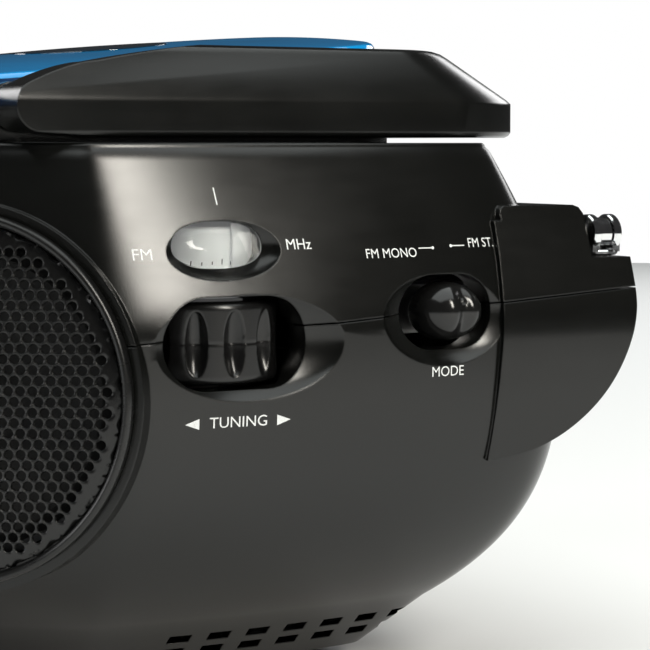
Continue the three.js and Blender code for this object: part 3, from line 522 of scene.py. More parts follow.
def wall_x(y, z):
    """How far out the right wall is at points y, z: the ring of that height, looked up by y."""
    y, z = np.atleast_1d(y).astype(float), np.atleast_1d(z).astype(float)
    levels = np.linspace(z.min() - 0.1, z.max() + 0.1, 12)
    table = []
    for h in levels:
        g, s, lean = case_level(h)
        x, yy = case_ring(WALL_ANGLE, g, s, lean)
        table.append(np.interp(y, yy, x))
    t = (z - levels[0]) / (levels[-1] - levels[0]) * 11
    i = np.clip(t.astype(int), 0, 10)
    table, col = np.array(table), np.arange(len(y))
    return table[i, col] * (1 - (t - i)) + table[i + 1, col] * (t - i)


def print_on_wall(name, flat, side):
    """Wraps a flat mesh, drawn in y and z, on to the right (1) or left (-1) wall."""
    bm = bmesh.new()
    bm.from_mesh(flat)
    bmesh.ops.triangulate(bm, faces=bm.faces)
    bmesh.ops.subdivide_edges(bm, edges=[e for e in bm.edges if e.calc_length() > 0.9], cuts=1)
    bmesh.ops.triangulate(bm, faces=bm.faces)
    bm.to_mesh(flat)
    bm.free()
    y, z, _ = read(flat.vertices, "co").T
    out = np.column_stack([side * (wall_x(y, z) + 0.04), y, z]) * MM
    flat.vertices.foreach_set("co", out.ravel())
    return dress(add_object(name, flat), legend_white, "case", angle=None)


def word(name, text, at, size, side=1, wide=1.0):
    """A printed word, its middle at y, z, with capitals 0.7 of the size high."""
    c = bpy.data.curves.new(name, "FONT")
    c.body, c.size, c.align_x, c.align_y = text, size, "CENTER", "CENTER"
    c.resolution_u = 4
    t = add_object(name, c)
    flat = bpy.data.meshes.new_from_object(t.evaluated_get(bpy.context.evaluated_depsgraph_get()))
    bpy.data.objects.remove(t)
    p = read(flat.vertices, "co") * [side * wide, 1, 0] + [at[0], at[1], 0]
    flat.vertices.foreach_set("co", p.ravel())
    return print_on_wall(name, flat, side)


def mark(name, outline, side=1):
    flat = bpy.data.meshes.new(name)
    p = np.asarray(outline, float)
    flat.from_pydata(np.column_stack([p, np.zeros(len(p))]).tolist(), [], [list(range(len(p)))])
    return print_on_wall(name, flat, side)


def arrow(name, point, length, side=1, half=1.05):
    y, z = point
    return mark(name, [[y, z], [y - length, z + half], [y - length, z - half]], side)


def pointer(name, y0, y1, z, side=1):
    """A thin line with a dot at its far end."""
    t = np.linspace(0, 2 * np.pi, 13)[:-1]
    mark(name + "_dot", np.stack([y1 + 0.33 * np.cos(t), z + 0.33 * np.sin(t)], -1), side)
    a, b = sorted((y0, y1))
    return mark(name + "_line", [[a, z - 0.11], [b, z - 0.11], [b, z + 0.11], [a, z + 0.11]], side)


legend_white, lt, lb = new_material("printing white", (0.80, 0.82, 0.82), 0.5)
speck, ramp = lt.nodes.new("ShaderNodeTexNoise"), lt.nodes.new("ShaderNodeValToRGB")
speck.inputs["Scale"].default_value = 4200
ramp.color_ramp.elements[0].position, ramp.color_ramp.elements[1].position = 0.25, 0.45
ramp.color_ramp.elements[0].color = (0.5, 0.52, 0.52, 1)
ramp.color_ramp.elements[1].color = (0.82, 0.84, 0.84, 1)
place = lt.nodes.new("ShaderNodeTexCoord")
link_nodes(lt, ((place, "Object"), (speck, "Vector")), ((speck, "Fac"), (ramp, "Fac")),
           ((ramp, "Color"), (lb, "Base Color")))
word("legend_fm", "FM", (-15.0, 90.8), 3.1, wide=1.12)
word("legend_mhz", "MHz", (17.8, 92.2), 2.95, wide=1.0)
mark("legend_tick", [[1.55, 103.4], [1.72, 100.1], [1.98, 100.1], [1.81, 103.4]])
word("legend_tuning", "TUNING", (2.7, 58.6), 3.0, wide=1.06)
arrow("legend_tuning_left", (-8.4, 58.6), -2.9)
arrow("legend_tuning_right", (13.7, 58.6), 2.9)
word("legend_mode", "MODE", (50.0, 66.1), 2.9, wide=0.98)
word("legend_fm_mono", "FM MONO", (38.7, 90.0), 2.65, wide=0.98)
pointer("legend_mono", 45.4, 48.9, 90.9)
pointer("legend_stereo", 57.0, 53.5, 91.2)
word("legend_fm_st", "FM ST.", (61.3, 91.6), 2.65, wide=0.92)
word("legend_volume", "VOLUME", (3.0, 58.6), 3.0, -1)
arrow("legend_volume_more", (-8.7, 58.6), -2.9, -1)
arrow("legend_volume_less", (14.7, 58.6), 2.9, -1)
word("legend_function", "FUNCTION", (50.0, 66.1), 2.3, -1, 0.9)
word("legend_radio", "RADIO", (60.2, 91.4), 2.65, -1, 0.9)
pointer("legend_radio_to", 55.6, 53.2, 91.2, -1)
word("legend_disc", "CD", (43.0, 90.4), 2.65, -1)
pointer("legend_disc_to", 45.2, 48.6, 90.9, -1)

# ---------------------------------------------------------------- speakers
# Each driver sits behind a domed grille of pierced steel, sprayed black, and a plastic ring. The
# holes are on a honeycomb lattice 2.3 mm apart, 1.9 mm wide, with rolled bright rims.
def speaker_place(side, flat):
    """Local u across, v up and w outward, carried to the speaker's seat."""
    w = SPK_WAY * [side, 1, 1]
    u = np.cross([0, 0, 1], w)
    u = u / np.linalg.norm(u)
    return SPK_AT * [side, 1, 1] + flat[:, :1] * u + flat[:, 1:2] * np.cross(w, u) + flat[:, 2:] * w


def dome_height(rho, edge=33.7):
    return 0.9 + 4.6 * (1 - (rho / edge) ** 2) + 0.3


def pierced_dome(name, side, pitch=2.3, hole=0.93, edge=33.7, open_to=32.4):
    """A honeycomb of cells on a parabolic dome. A cell is twelve outer points on its hexagon and
    twelve on its round hole, joined by quads; cells past the open part are filled. Points past
    the edge are drawn in to it."""
    k = int(edge / pitch) + 3
    i, j = [g.ravel() for g in np.meshgrid(np.arange(-k, k + 1), np.arange(-k - 2, k + 3))]
    centre = np.stack([pitch * (i + 0.5 * (j % 2)), pitch * 0.8660254 * j], -1)
    rho = np.hypot(*centre.T)
    centre, rho = centre[rho < edge + pitch * 0.4], rho[rho < edge + pitch * 0.4]
    a = np.radians(30) * np.arange(12)
    flat_to_flat = pitch / 2
    hexagon = np.where(np.arange(12) % 2, flat_to_flat / np.cos(np.radians(30)), flat_to_flat)
    outer = centre[:, None] + np.stack([hexagon * np.cos(a), hexagon * np.sin(a)], -1)
    bore = np.where(rho < open_to - pitch / 2, hole, 0.02)[:, None]
    circle = np.stack([np.cos(a), np.sin(a)], -1)
    lip = centre[:, None] + (bore + 0.07)[..., None] * circle
    inner = centre[:, None] + bore[..., None] * circle
    pts, lift = np.concatenate([outer, lip, inner], 1), np.zeros((1, 36))
    lift[:, 24:] = -0.18
    r = np.hypot(pts[..., 0], pts[..., 1])
    pts = pts * (np.minimum(r, edge) / np.maximum(r, 1e-6))[..., None]
    r = np.minimum(r, edge)
    flat = np.stack([pts[..., 0], pts[..., 1], dome_height(r) + lift * (bore > 0.1)], -1)
    base = 36 * np.arange(len(centre))[:, None]
    m = np.arange(12)
    band = lambda s: np.stack([base + s + m, base + s + (m + 1) % 12,
                               base + s + 12 + (m + 1) % 12, base + s + 12 + m], -1)
    faces = np.concatenate([band(0), band(12)], 1).reshape(-1, 4)
    o = mesh_piece(name, speaker_place(side, flat.reshape(-1, 3)), faces)
    weld_doubles(o)
    thick = o.modifiers.new("sheet", "SOLIDIFY")
    thick.thickness, thick.offset = 0.7 * MM, -1.0
    return o


grille_black = grained_plastic("grille steel", (0.006, 0.006, 0.006), 0.2, metal=0.0, grain=0.02)
ring_black = grained_plastic("ring plastic", (0.004, 0.004, 0.004), 0.28, grain=0.03)
basket = grained_plastic("pressed basket", (0.05, 0.05, 0.052), 0.35, metal=0.9)
paper = grained_plastic("cone paper", (0.02, 0.02, 0.02), 0.8, grain=0.5, fine=1400)
RING = [[34.0, 0.3], [35.9, 0.3], [35.9, 2.0], [35.6, 2.6], [35.1, 2.8], [34.7, 2.7], [34.2, 2.2],
        [34.0, 1.6]]
for side, name in ((1, "right"), (-1, "left")):
    dress(pierced_dome("pierced_grille_" + name, side), grille_black, "case",
          ["speaker_grille_" + name], angle=40)
    ring = turned("speaker_ring_" + name, RING, SPK_AT * [side, 1, 1], SPK_WAY * [side, 1, 1], 160)
    dress(ring, ring_black, "case", ["grille_ring_" + name], angle=50)
    paint(nodes["speaker_frame_" + name], basket)
    paint(nodes["speaker_cone_" + name], paper)

# ---------------------------------------------------------------- thumb wheels
# A moulded wheel on each side, tuning on the right and volume on the left. Twelve lens-shaped
# finger scoops run round it, with the mould's parting line at half height.
def thumb_wheel(name, side):
    """Radius 14.6, less a scoop: a hollow whose outline is an ellipse in turn angle and height;
    both faces are rounded over by a quarter circle of 1.5 mm."""
    a = 2 * np.pi * (np.arange(480) + 0.5) / 480
    z = np.linspace(-8, 8, 81)[:, None]
    off = (a / np.radians(30) + 0.56) % 1 - 0.5
    lens = np.clip(1 - (off * 30 / 9.0) ** 2 - (z / 6.4) ** 2, 0, 1)
    over = 1.5 * (1 - np.sqrt(np.clip(1 - (np.clip(np.abs(z) - 6.5, 0, 1.5) / 1.5) ** 2, 0, 1)))
    r = WHEEL_R - 1.9 * lens ** 0.75 - over - 0.14 * np.exp(-(z / 0.16) ** 2)
    x = side * (WHEEL_AT[0] + 0 * r) + r * np.cos(a)
    o = stacked(name, np.stack([x, WHEEL_AT[1] + r * np.sin(a), WHEEL_AT[2] + z + 0 * r], -1))
    cut(o, rod(2.4, 20, (side * 95, 3, 63.6), sides=48))
    return o


wheel_black = grained_plastic("wheel black", (0.005, 0.005, 0.005), 0.22, swing=0.03, grain=0.02)
dress(thumb_wheel("tuning_thumb_wheel", 1), wheel_black, "tuner",
      ["tuning_wheel"], angle=60)
dress(thumb_wheel("volume_thumb_wheel", -1), wheel_black, "volume",
      ["volume_wheel"], angle=60)

# ---------------------------------------------------------------- slide knobs
# Small domed knobs, polished, with a finger scoop over the middle and a pip above its centre.
def slide_knob(name, side):
    """Half an egg of 7 x 7.4 x 5.9 mm, hollowed by a soft upright trough, with a bead on top."""
    t = np.linspace(0, 1, 60)[:, None] ** 0.6
    a = 2 * np.pi * np.arange(120) / 120
    y, z = 7.4 * t * np.cos(a), 5.9 * t * np.sin(a)
    x = 7.0 * np.sqrt(np.clip(1 - t ** 2, 0, 1))
    x = x - 1.5 * np.exp(-((y - 1.0) / 1.9) ** 2) * (1 - t ** 4)
    x = x + 0.45 * np.sqrt(np.clip(1 - ((y - 1.0) ** 2 + (z - 2.2) ** 2) / 0.45, 0, 1))
    x = np.maximum(x, -2.6 + 0 * x)
    rows = [np.stack([106.6 + x[k], 52.5 + y[k], 78 + z[k]], -1) for k in range(60)]
    rows += [rows[-1] * [0, 1, 1] + [104.0, 0, 0]]
    pts = np.asarray(rows)[::-1 if side > 0 else 1] * [side, 1, 1]
    o = stacked(name, pts)
    weld_doubles(o)
    join(o, side_block(side, 97, 104.5, 50, 55, 75.6, 80.4))
    return o


knob_black = grained_plastic("knob black", (0.008, 0.008, 0.008), 0.16, swing=0.03, grain=0.02)
dress(slide_knob("mode_knob_dome", 1), knob_black, "mode_knob",
      ["mode_slider"], 50)
dress(slide_knob("function_knob_dome", -1), knob_black, "function_knob",
      ["function_slider"], 50)

# ---------------------------------------------------------------- dial window
# A clear lens, domed a little, in a super-ellipse of an opening; behind it turns a white drum
# with small black ticks, and a curved white card stands round the drum's front. Drum and card
# share a faint emission, a painted glow that brightens the window though neither is a lamp.
def lens_dome(name):
    """Super-ellipse outlines shrunk to a middle line, rising by 1 - s squared; a back face 1.2 mm
    behind it makes it solid."""
    rim = dial_outline(9.6, 4.5, (0, 0))
    spine = np.stack([rim[:, 0] * 0.5, 0 * rim[:, 1]], -1)
    rings = []
    for s, lift in [(1.0, -1.5), (1.0, -0.35)] + [(s, -0.35 + 1.05 * (1 - s * s)) for s in
                                                  (0.97, 0.9, 0.8, 0.65, 0.5, 0.3, 0.12, 0.02)]:
        p = spine + (rim - spine) * s + [1, 92.4]
        seat = wall_x(p[:, 0], p[:, 1]) - 1.35
        rings.append(np.stack([seat + lift, p[:, 0], p[:, 1]], -1))
    return stacked(name, rings)


clear, ct, cb = new_material("clear lens", (0.95, 0.97, 0.97), 0.03)
cb.inputs["Transmission Weight"].default_value = 1.0
cb.inputs["IOR"].default_value = 1.35
uneven_gloss(ct, cb, 160, 0.01, 0.09)
dress(lens_dome("dial_lens"), clear, "case", ["dial_window"], 50)
drum_white_painted_glow, dt, db = new_material("drum white painted glow", (0.83, 0.83, 0.82), 0.45)
uneven_gloss(dt, db, 300, 0.4, 0.55)
# Painted glow: a faint white emission makes the drum and its card shine as though lit.
db.inputs["Emission Color"].default_value = (1, 1, 1, 1)
db.inputs["Emission Strength"].default_value = 0.12
drum = turned("dial_drum_scale", [[0, 81.9], [7.6, 81.9], [8.0, 82.3], [8.0, 95.0], [7.6, 95.4],
                                  [0, 95.4]], (95, 3, 0), sides=128)
dress(drum, drum_white_painted_glow, "tuner", ["dial_drum"], 40)
sweep = np.radians(np.linspace(12, 84, 25))
card = np.stack([np.tile(95 + 8.75 * np.cos(sweep), 2), np.tile(3 + 8.75 * np.sin(sweep), 2),
                 np.repeat([86.4, 96.4], 25)], -1)
k = np.arange(24)
screen = mesh_piece("dial_white_card", card, np.stack([k, k + 25, k + 26, k + 1], -1))
back_up = screen.modifiers.new("card", "SOLIDIFY")
back_up.thickness, back_up.offset = 0.2 * MM, 0
dress(screen, drum_white_painted_glow, "case", angle=None)
tick_black, _, _ = new_material("scale black", (0.02, 0.02, 0.02), 0.5)
ticks = []
for i in range(-9, 10):
    a, tall = np.radians(14 * i), 0.9 if i % 3 == 0 else 0.5
    way = np.array([np.cos(a), np.sin(a), 0])
    across = np.array([-np.sin(a), np.cos(a), 0])
    base = np.array([95, 3, 88.9]) + way * 8.02
    ticks.append([base - across * 0.1, base + across * 0.1,
                  base + across * 0.1 + [0, 0, tall], base - across * 0.1 + [0, 0, tall]])
ticks = np.asarray(ticks)
scale_ticks = mesh_piece("dial_scale_ticks", ticks.reshape(-1, 3),
                         np.arange(len(ticks) * 4).reshape(-1, 4), False)
dress(scale_ticks, tick_black, "tuner", angle=None)

# ---------------------------------------------------------------- front panel and keys
# A glossy blue panel let into the front, a clear display lens over a small liquid-crystal module
# and six silvered keys in two rows, each with its moulded sign.
panel = case_like(1.0, 2, 2, 360, "front_panel_skin")
cut(panel, case_like(-0.9))
keep(panel, prism("panel edge", [[-30, 30], [30, 30], [30, 106], [-30, 106]], -130, -60, "y"))
cut(panel, *[rod(5.3, 40, (x, -120, z), (0, 1, 0), 64) for x, z in KEYS],
    block(-22.3, 22.3, -130, -80, 83.7, 100.3))
blue = grained_plastic("gloss blue", (0.002, 0.33, 0.80), 0.13, swing=0.03, grain=0.015,
                       Coat_Weight=0.6, Coat_Roughness=0.05)
dress(panel, blue, "case", ["front_panel"], 30)
silver = grained_plastic("key silver", (0.55, 0.56, 0.57), 0.28, metal=0.75, grain=0.03)
sign_black, _, _ = new_material("sign dark", (0.03, 0.03, 0.035), 0.45)
oblong = lambda x0, x1, z0, z1: [[x0, z0], [x0, z1], [x1, z1], [x1, z0]]
SIGNS = {"skip_back": [oblong(-1.8, -1.4, -1.2, 1.2), [[-1.3, 0], [0.2, 1.2], [0.2, -1.2]],
                       [[0.3, 0], [1.8, 1.2], [1.8, -1.2]]],
         "play_pause": [[[-1.9, -1.2], [-1.9, 1.2], [0.1, 0]], oblong(0.5, 0.95, -1.2, 1.2),
                        oblong(1.4, 1.85, -1.2, 1.2)],
         "skip_forward": [oblong(1.4, 1.8, -1.2, 1.2), [[-0.2, -1.2], [-0.2, 1.2], [1.3, 0]],
                          [[-1.8, -1.2], [-1.8, 1.2], [-0.3, 0]]],
         "repeat": [oblong(-1.6, 1.3, -0.9, -0.5), oblong(-1.3, 1.6, 0.5, 0.9),
                    [[0.8, 1.4], [1.9, 0.7], [0.8, 0]], [[-0.8, -1.4], [-1.9, -0.7], [-0.8, 0]]],
         "stop": [oblong(-1.1, 1.1, -1.1, 1.1)],
         "program": [oblong(-1.5, 1.5, 0.6, 1.0), oblong(-1.5, 1.5, -0.2, 0.2),
                     oblong(-1.5, 0.4, -1.0, -0.6)]}
for (key, signs), (x, z) in zip(SIGNS.items(), KEYS):
    low, high = np.array(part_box("key_" + key)) / MM
    y = low[1]
    rim = [[0, 0.55], [2, 0.5], [3.2, 0.35], [4.1, 0.1], [4.5, 0.0], [4.8, 0.12], [5.0, 0.45],
           [5.0, high[1] - y], [0, high[1] - y]]
    button = turned("key_cap_" + key, rim, (x, y, z), (0, 1, 0), 72)
    dress(button, silver, "key_" + key + "_body", ["key_" + key], 40)
    parts = [np.asarray(sign, float) for sign in signs]
    pts = np.concatenate([np.column_stack([x + 0.85 * p[:, 0], np.full(len(p), y + 0.42),
                                           z + 0.85 * p[:, 1]]) for p in parts])
    count, faces = 0, []
    for p in parts:
        loop = list(range(count, count + len(p)))
        faces.append(loop if area_of(p) > 0 else loop[::-1])
        count += len(p)
    dress(mesh_piece("key_sign_" + key, pts, faces, False), sign_black, "key_" + key + "_body",
          angle=None)

# ---------------------------------------------------------------- disc deck
# The well the disc drops into, its spindle hub with three spring balls, and the pickup that runs
# on two steel rods under a slot in the floor.
well = turned("disc_well", [[16.5, 106], [63.5, 106], [63.5, 119.3], [65.6, 119.3], [65.6, 120.2],
                            [65.2, 120.5], [61.9, 120.5], [61.5, 120.1], [61.5, 108.6],
                            [60.9, 108], [17.0, 108], [16.5, 107.6]], (0, -9, 0), sides=192)
cut(well, block(-13, 13, -68.5, -21, 90, 108.5))
deck_black = grained_plastic("deck black", (0.013, 0.013, 0.013), 0.42, grain=0.35, fine=1700)
dress(well, deck_black, "case", ["cd_well"], 30)
hub = turned("spindle_hub", [[0, 106.6], [15.2, 106.6], [15.5, 106.9], [15.5, 109.2], [15.2, 109.5],
                             [13.2, 109.5], [12.9, 109.3], [7.8, 109.3], [7.3, 109.6],
                             [7.2, 112.2], [6.6, 113.0], [5, 113.5], [2, 113.6], [0, 113.6]],
             (0, -9, 0), sides=120)
dress(hub, deck_black, "hub", ["turntable_hub"], 35)
steel = grained_plastic("bright steel", (0.62, 0.63, 0.65), 0.22, metal=1.0, grain=0.02)
for k in range(3):
    a = np.radians(120 * k + 30)
    ball = egg(0.8, 0.8, 0.8, (6.9 * np.cos(a), -9 + 6.9 * np.sin(a), 111.3))
    ball.name = "hub_ball_%d" % (k + 1)
    dress(ball, steel, "hub", angle=60)
low, high = np.array(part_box("pickup_sled")) / MM
eye = turned("pickup_lens_holder", [[3.0, 0], [4.6, 0], [4.6, 1.4], [4.2, 1.8], [3.2, 1.8],
                                    [3.0, 1.5]], (0, -35, high[2] - 0.4), sides=64)
dress(eye, deck_black, "sled", angle=40)
lens = egg(3.1, 3.1, 1.1, (0, -35, high[2] + 0.6))
lens.name = "pickup_lens"
dress(lens, clear, "sled", angle=60)

# ---------------------------------------------------------------- lid
# A glossy blue lid, hinged on a pin between two lugs at the back; its upright skirt is coloured a
# dark blue as painted shade, a shaded copy of the lid's blue. A smoked window shows the disc.
LID_REAR, LID_T = 59.0, 2.2


def lid_plan(o, steps=40):
    """Round at the front as a super-ellipse about the well, with 14 mm rear corners."""
    w, rear = 78 - o, LID_REAR - o
    right = corner(w, rear, 14, 12)
    rear_run = np.column_stack([np.linspace(w - 14, 14 - w, 26)[1:-1], np.full(24, rear)])
    c, q = np.cos(np.linspace(0, np.pi, steps * 2)), np.sin(np.linspace(0, np.pi, steps * 2))
    front = np.stack([-w * np.sign(c) * np.abs(c) ** 0.86,
                      -9 - (70 - o) * np.maximum(q, 0) ** 0.9], -1)
    return np.vstack([right, rear_run, right[::-1] * [-1, 1], front])


def lid_top(x, y):
    return 137 - 4 * (x / 77) ** 2 - 13 * np.clip((LID_REAR - y) / 138, 0, 1) ** 1.2


def crowned(name, outline, drop, low, rounding=()):
    """A solid standing on an outline: straight sides, then the crowned top met through rings
    drawn in by each rounding's first number and lowered by its second; rings shrink to the
    middle across the top."""
    p = np.asarray(outline, float)
    if area_of(p) < 0:
        p = p[::-1]
    mid = np.array([0, 0.5 * (p[:, 1].min() + p[:, 1].max())])
    rings, reach = [np.column_stack([p, np.full(len(p), low)])], np.hypot(*(p - mid).T)[:, None]
    for inward, fall in rounding or [(0, 0)]:
        q = mid + (p - mid) * (1 - inward / reach)
        rings.append(np.column_stack([q, lid_top(*q.T) - drop - fall]))
    inward = (rounding or [(0, 0)])[-1][0]
    for s in (0.97, 0.92, 0.84, 0.74, 0.62, 0.5, 0.38, 0.26, 0.14, 0.05):
        q = mid + (p - mid) * (1 - inward / reach) * s
        rings.append(np.column_stack([q, lid_top(*q.T) - drop]))
    return stacked(name, rings)


ROUND = [(0, 1.6), (0.2, 0.9), (0.65, 0.35), (1.4, 0.06), (2.0, 0.0)]
lid = crowned("lid_shell", lid_plan(0), 0, 119.6, ROUND)
cut(lid, crowned("lid room", lid_plan(LID_T), LID_T, 110))
for k in (1, -1):
    rib = block(k * 47 - 1.5, k * 47 + 1.5, 51.6, 58, 125.5, 140)
    keep(rib, crowned("rib trim", lid_plan(0.4), 0.4, 100))
    cut(lid, block(k * 40 - 4, k * 40 + 4, 56, 60, 100, 132.9))
    join(lid, rib)
heel = block(-80, 80, 54.8, 60, 100, 129.5)
cut(heel, rod(8.7, 170, (-85, *PIN), (1, 0, 0), 96))
window_at = lambda o: slot_outline(40 + o, 17 + o, (0, 12), 40)
cut(lid, rod(1.9, 110, (-55, *PIN), (1, 0, 0), 48), heel,
    prism("window hole", window_at(-2.2), 100, 150))
ledge = prism("window step", window_at(0.3), 100, 150)
cut(ledge, crowned("step floor", window_at(6), 1.2, 90))
cut(lid, ledge)
# Painted shade: a dark copy of the lid's blue for the upright skirt, standing in for its shadow.
painted_shade_navy = grained_plastic("skirt navy", (0.004, 0.035, 0.12), 0.16, swing=0.03, grain=0.02)
dress(lid, blue, "lid", ["cd_lid"], 35)
lid.data.materials.append(painted_shade_navy)
# Upright faces more than 1.2 mm below the crown, the skirt, take the painted shade.
normal, middle = (read(lid.data.polygons, what) for what in ("normal", "center"))
drop = lid_top(middle[:, 0] / MM, middle[:, 1] / MM) - middle[:, 2] / MM
lid.data.polygons.foreach_set("material_index",
                              ((np.abs(normal[:, 2]) < 0.5) & (drop > 1.2)).astype(np.int32))
pane = crowned("lid_pane", window_at(0), -0.2, 110, [(0, 0.5), (0.15, 0.15), (0.5, 0.0)])
cut(pane, crowned("pane back", window_at(4), 0.9, 90))
smoked, st, sb = new_material("smoked pane", (0.03, 0.09, 0.16), 0.05)
sb.inputs["Transmission Weight"].default_value = 0.75
sb.inputs["IOR"].default_value = 1.45
uneven_gloss(st, sb, 90, 0.02, 0.1)
dress(pane, smoked, "lid", ["lid_window"], 40)

# ---------------------------------------------------------------- carry handle
# A U-shaped handle moulded in the same black, folded back round the lid, with its round ends on
# two pivots. Its upper faces slope in from a crease at half height.
def u_rings(name, rows):
    """A solid from rows of half width, rear, corner radius and height."""
    plans = [(back_round(*row[:3], 24, -60), row[3]) for row in rows]
    return stacked(name, [np.column_stack([p, np.full(len(p), z)]) for p, z in plans])


grip = u_rings("handle_grip", [
    (94.3, 86.4, 24, 113.1), (95.1, 87.2, 24.8, 113.5), (95.5, 87.6, 25, 114.2),
    (95.5, 87.6, 25, 120.3), (95.2, 86.8, 25, 121.1), (90.8, 71.6, 19.2, 129.9),
    (90.1, 70.1, 18.8, 130.8), (88.8, 68.7, 18, 131.3), (88.3, 68.2, 18, 131.4)])
cut(grip, u_rings("inside", [(83.5, 64, 17, 100), (83.5, 64, 17, 140)]))
NOSE_R = 4.9
t = np.linspace(np.radians(118), np.radians(270), 30)
nose = np.stack([PIVOT[0] + NOSE_R * np.cos(t), PIVOT[1] + NOSE_R * np.sin(t)], -1)
run = np.linspace(0, 1, 16)
back_line = np.stack([20 - 38 * run, 132.6 - 2.4 * run - 2.4 * run ** 2], -1)
front_line = np.stack([-18 - 15.3 * run, 127.8 - 4.57 * run ** 1.5], -1)[1:-1]
profile = np.vstack([[[120, 112.9], [120, 132.6]], back_line, front_line, nose, [[-14, 113]]])
keep(grip, prism("side view", profile, -120, 120, "x"))
for k in (1, -1):
    lo, hi = sorted((k * 82, k * 93.9))
    cut(grip, rod(3.0, hi - lo, (lo, *PIVOT), (1, 0, 0), 48))
handle_black = grained_plastic("handle black", (0.003, 0.0033, 0.003), 0.22, swing=0.03,
                               grain=0.025)
dress(grip, handle_black, "handle", ["carry_handle"], 24)

# ---------------------------------------------------------------- telescopic antenna
# Four chromed brass tubes that slide into each other, lying on the ledge behind the bar. They
# tip up on a riveted eye between two cheeks, on a disc that swivels.
chrome, ht, hb = new_material("antenna chrome", (0.80, 0.81, 0.82), 0.07, 1.0)
uneven_gloss(ht, hb, 1.0, 0.03, 0.16, (40, 900, 900), 4)
ANT_Y, ANT_Z = 93.7, 92.9


def tube(name, r, bore, x0, x1, curl=0.35, closed=0.0):
    """A tube along x: outer wall, rolled ends of the curl's size, and its bore."""
    c = [[r - curl, x0], [r - 0.3 * curl, x0 + 0.3 * curl], [r, x0 + curl]]
    d = [[r, x1 - curl], [r - 0.3 * curl, x1 - 0.3 * curl], [r - curl, x1]]
    inner = [[bore, x1 - closed], [bore, x0]] if not closed else [[0, x1], [0, x1 - closed],
                                                                 [bore, x1 - closed], [bore, x0]]
    return turned(name, c + d + inner, (0, ANT_Y, ANT_Z), (1, 0, 0), 72)


ANT_X = 102.5
first = tube("antenna_outer", 3.5, 2.75, -102, 97.0, 0.6, closed=3.0)
eye = rod(3.3, 2.6, (ANT_X, ANT_Y - 1.3, ANT_Z), (0, 1, 0), 72)
join(eye, block(95, ANT_X, ANT_Y - 1.3, ANT_Y + 1.3, ANT_Z - 2.6, ANT_Z + 2.6))
join(first, eye)
cut(first, rod(1.25, 10, (ANT_X, ANT_Y - 5, ANT_Z), (0, 1, 0), 40))
dress(first, chrome, "antenna_1", ["antenna_tube_1"], 40)
dress(tube("antenna_second", 2.6, 1.95, -103, 90.5), chrome, "antenna_2",
      ["antenna_tube_2"], 40)
dress(tube("antenna_third", 1.8, 1.2, -104, 86.5), chrome, "antenna_3",
      ["antenna_tube_3"], 40)
button = turned("antenna_button", [[0, 82.5], [1.05, 82.5], [1.05, -104.4], [2.6, -104.4],
                                   [3.2, -104.9], [3.4, -105.6], [3.4, -107.6], [3.1, -108.5],
                                   [2.3, -109], [0, -109]], (0, ANT_Y, ANT_Z), (1, 0, 0), 72)
dress(button, chrome, "antenna_4", ["antenna_tip"], 40)
turret = turned("antenna_turret_disc", [[0, 83.0], [2.1, 83.0], [2.1, 88.3], [3.7, 88.3],
                                        [4.1, 88.6], [4.1, 89.1], [3.8, 89.4], [0, 89.4]],
                (ANT_X, ANT_Y, 0))
for k in (1, -1):
    lo = ANT_Y + (1.6 if k > 0 else -3.5)
    cheek = turned("cheek", [[0, 0], [3.7, 0], [4.0, 0.3], [4.0, 1.6], [3.7, 1.9], [0, 1.9]],
                   (ANT_X, lo, ANT_Z), (0, 1, 0), 72)
    join(cheek, block(ANT_X - 3, ANT_X + 3, lo, lo + 1.9, 89, ANT_Z))
    join(turret, cheek)
rivet = turned("rivet", [[0, -4.0], [0.9, -4.0], [1.6, -3.5], [1.1, -3.4], [1.1, 3.4], [1.6, 3.5],
                         [0.9, 4.0], [0, 4.0]], (ANT_X, ANT_Y, ANT_Z), (0, 1, 0), 48)
join(turret, rivet)
dress(turret, chrome, "antenna_turret", ["antenna_base"], 40)

# ---------------------------------------------------------------- back, feet and inlet
# A ribbed battery door draws off backwards, a mains inlet with two pins is let into the bar, and
# four ringed rubber feet are pressed into the underside.
door = case_like(0, 2, 2, 360, "battery_door_skin")
join(door, bar_block(0))
keep(door, block(-72, 72, 50, 110, 17, 42))
cut(door, case_like(-2.2))
low, high = np.array(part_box("battery_door")) / MM
keep(door, block(-72, 72, low[1], high[1] + 5, 17, 42))
grooves = cut(case_like(1, 2, 2), case_like(-0.5, 2, 2))
bars = join(*[block(-18, 18, 50, 110, 33 + 1.7 * k, 33.8 + 1.7 * k) for k in range(5)])
keep(grooves, bars)
cut(door, grooves)
dress(door, case_black, "door", ["battery_door"], 30)
rubber = grained_plastic("foot rubber", (0.022, 0.022, 0.022), 0.75, grain=0.5, fine=1800)
for name in [n for n in nodes if n.startswith("foot")]:
    low, high = np.array(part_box(name)) / MM
    x, y = (low[:2] + high[:2]) / 2
    r, top = (high[0] - low[0]) / 2, high[2]
    foot = turned("rubber_" + name, [[0, 0.35], [r - 3.2, 0.35], [r - 2.8, 0], [r - 1, 0],
                                     [r - 0.3, 0.3], [r, 1.0], [r, top], [0, top]], (x, y, 0))
    dress(foot, rubber, "case", [name], 40)
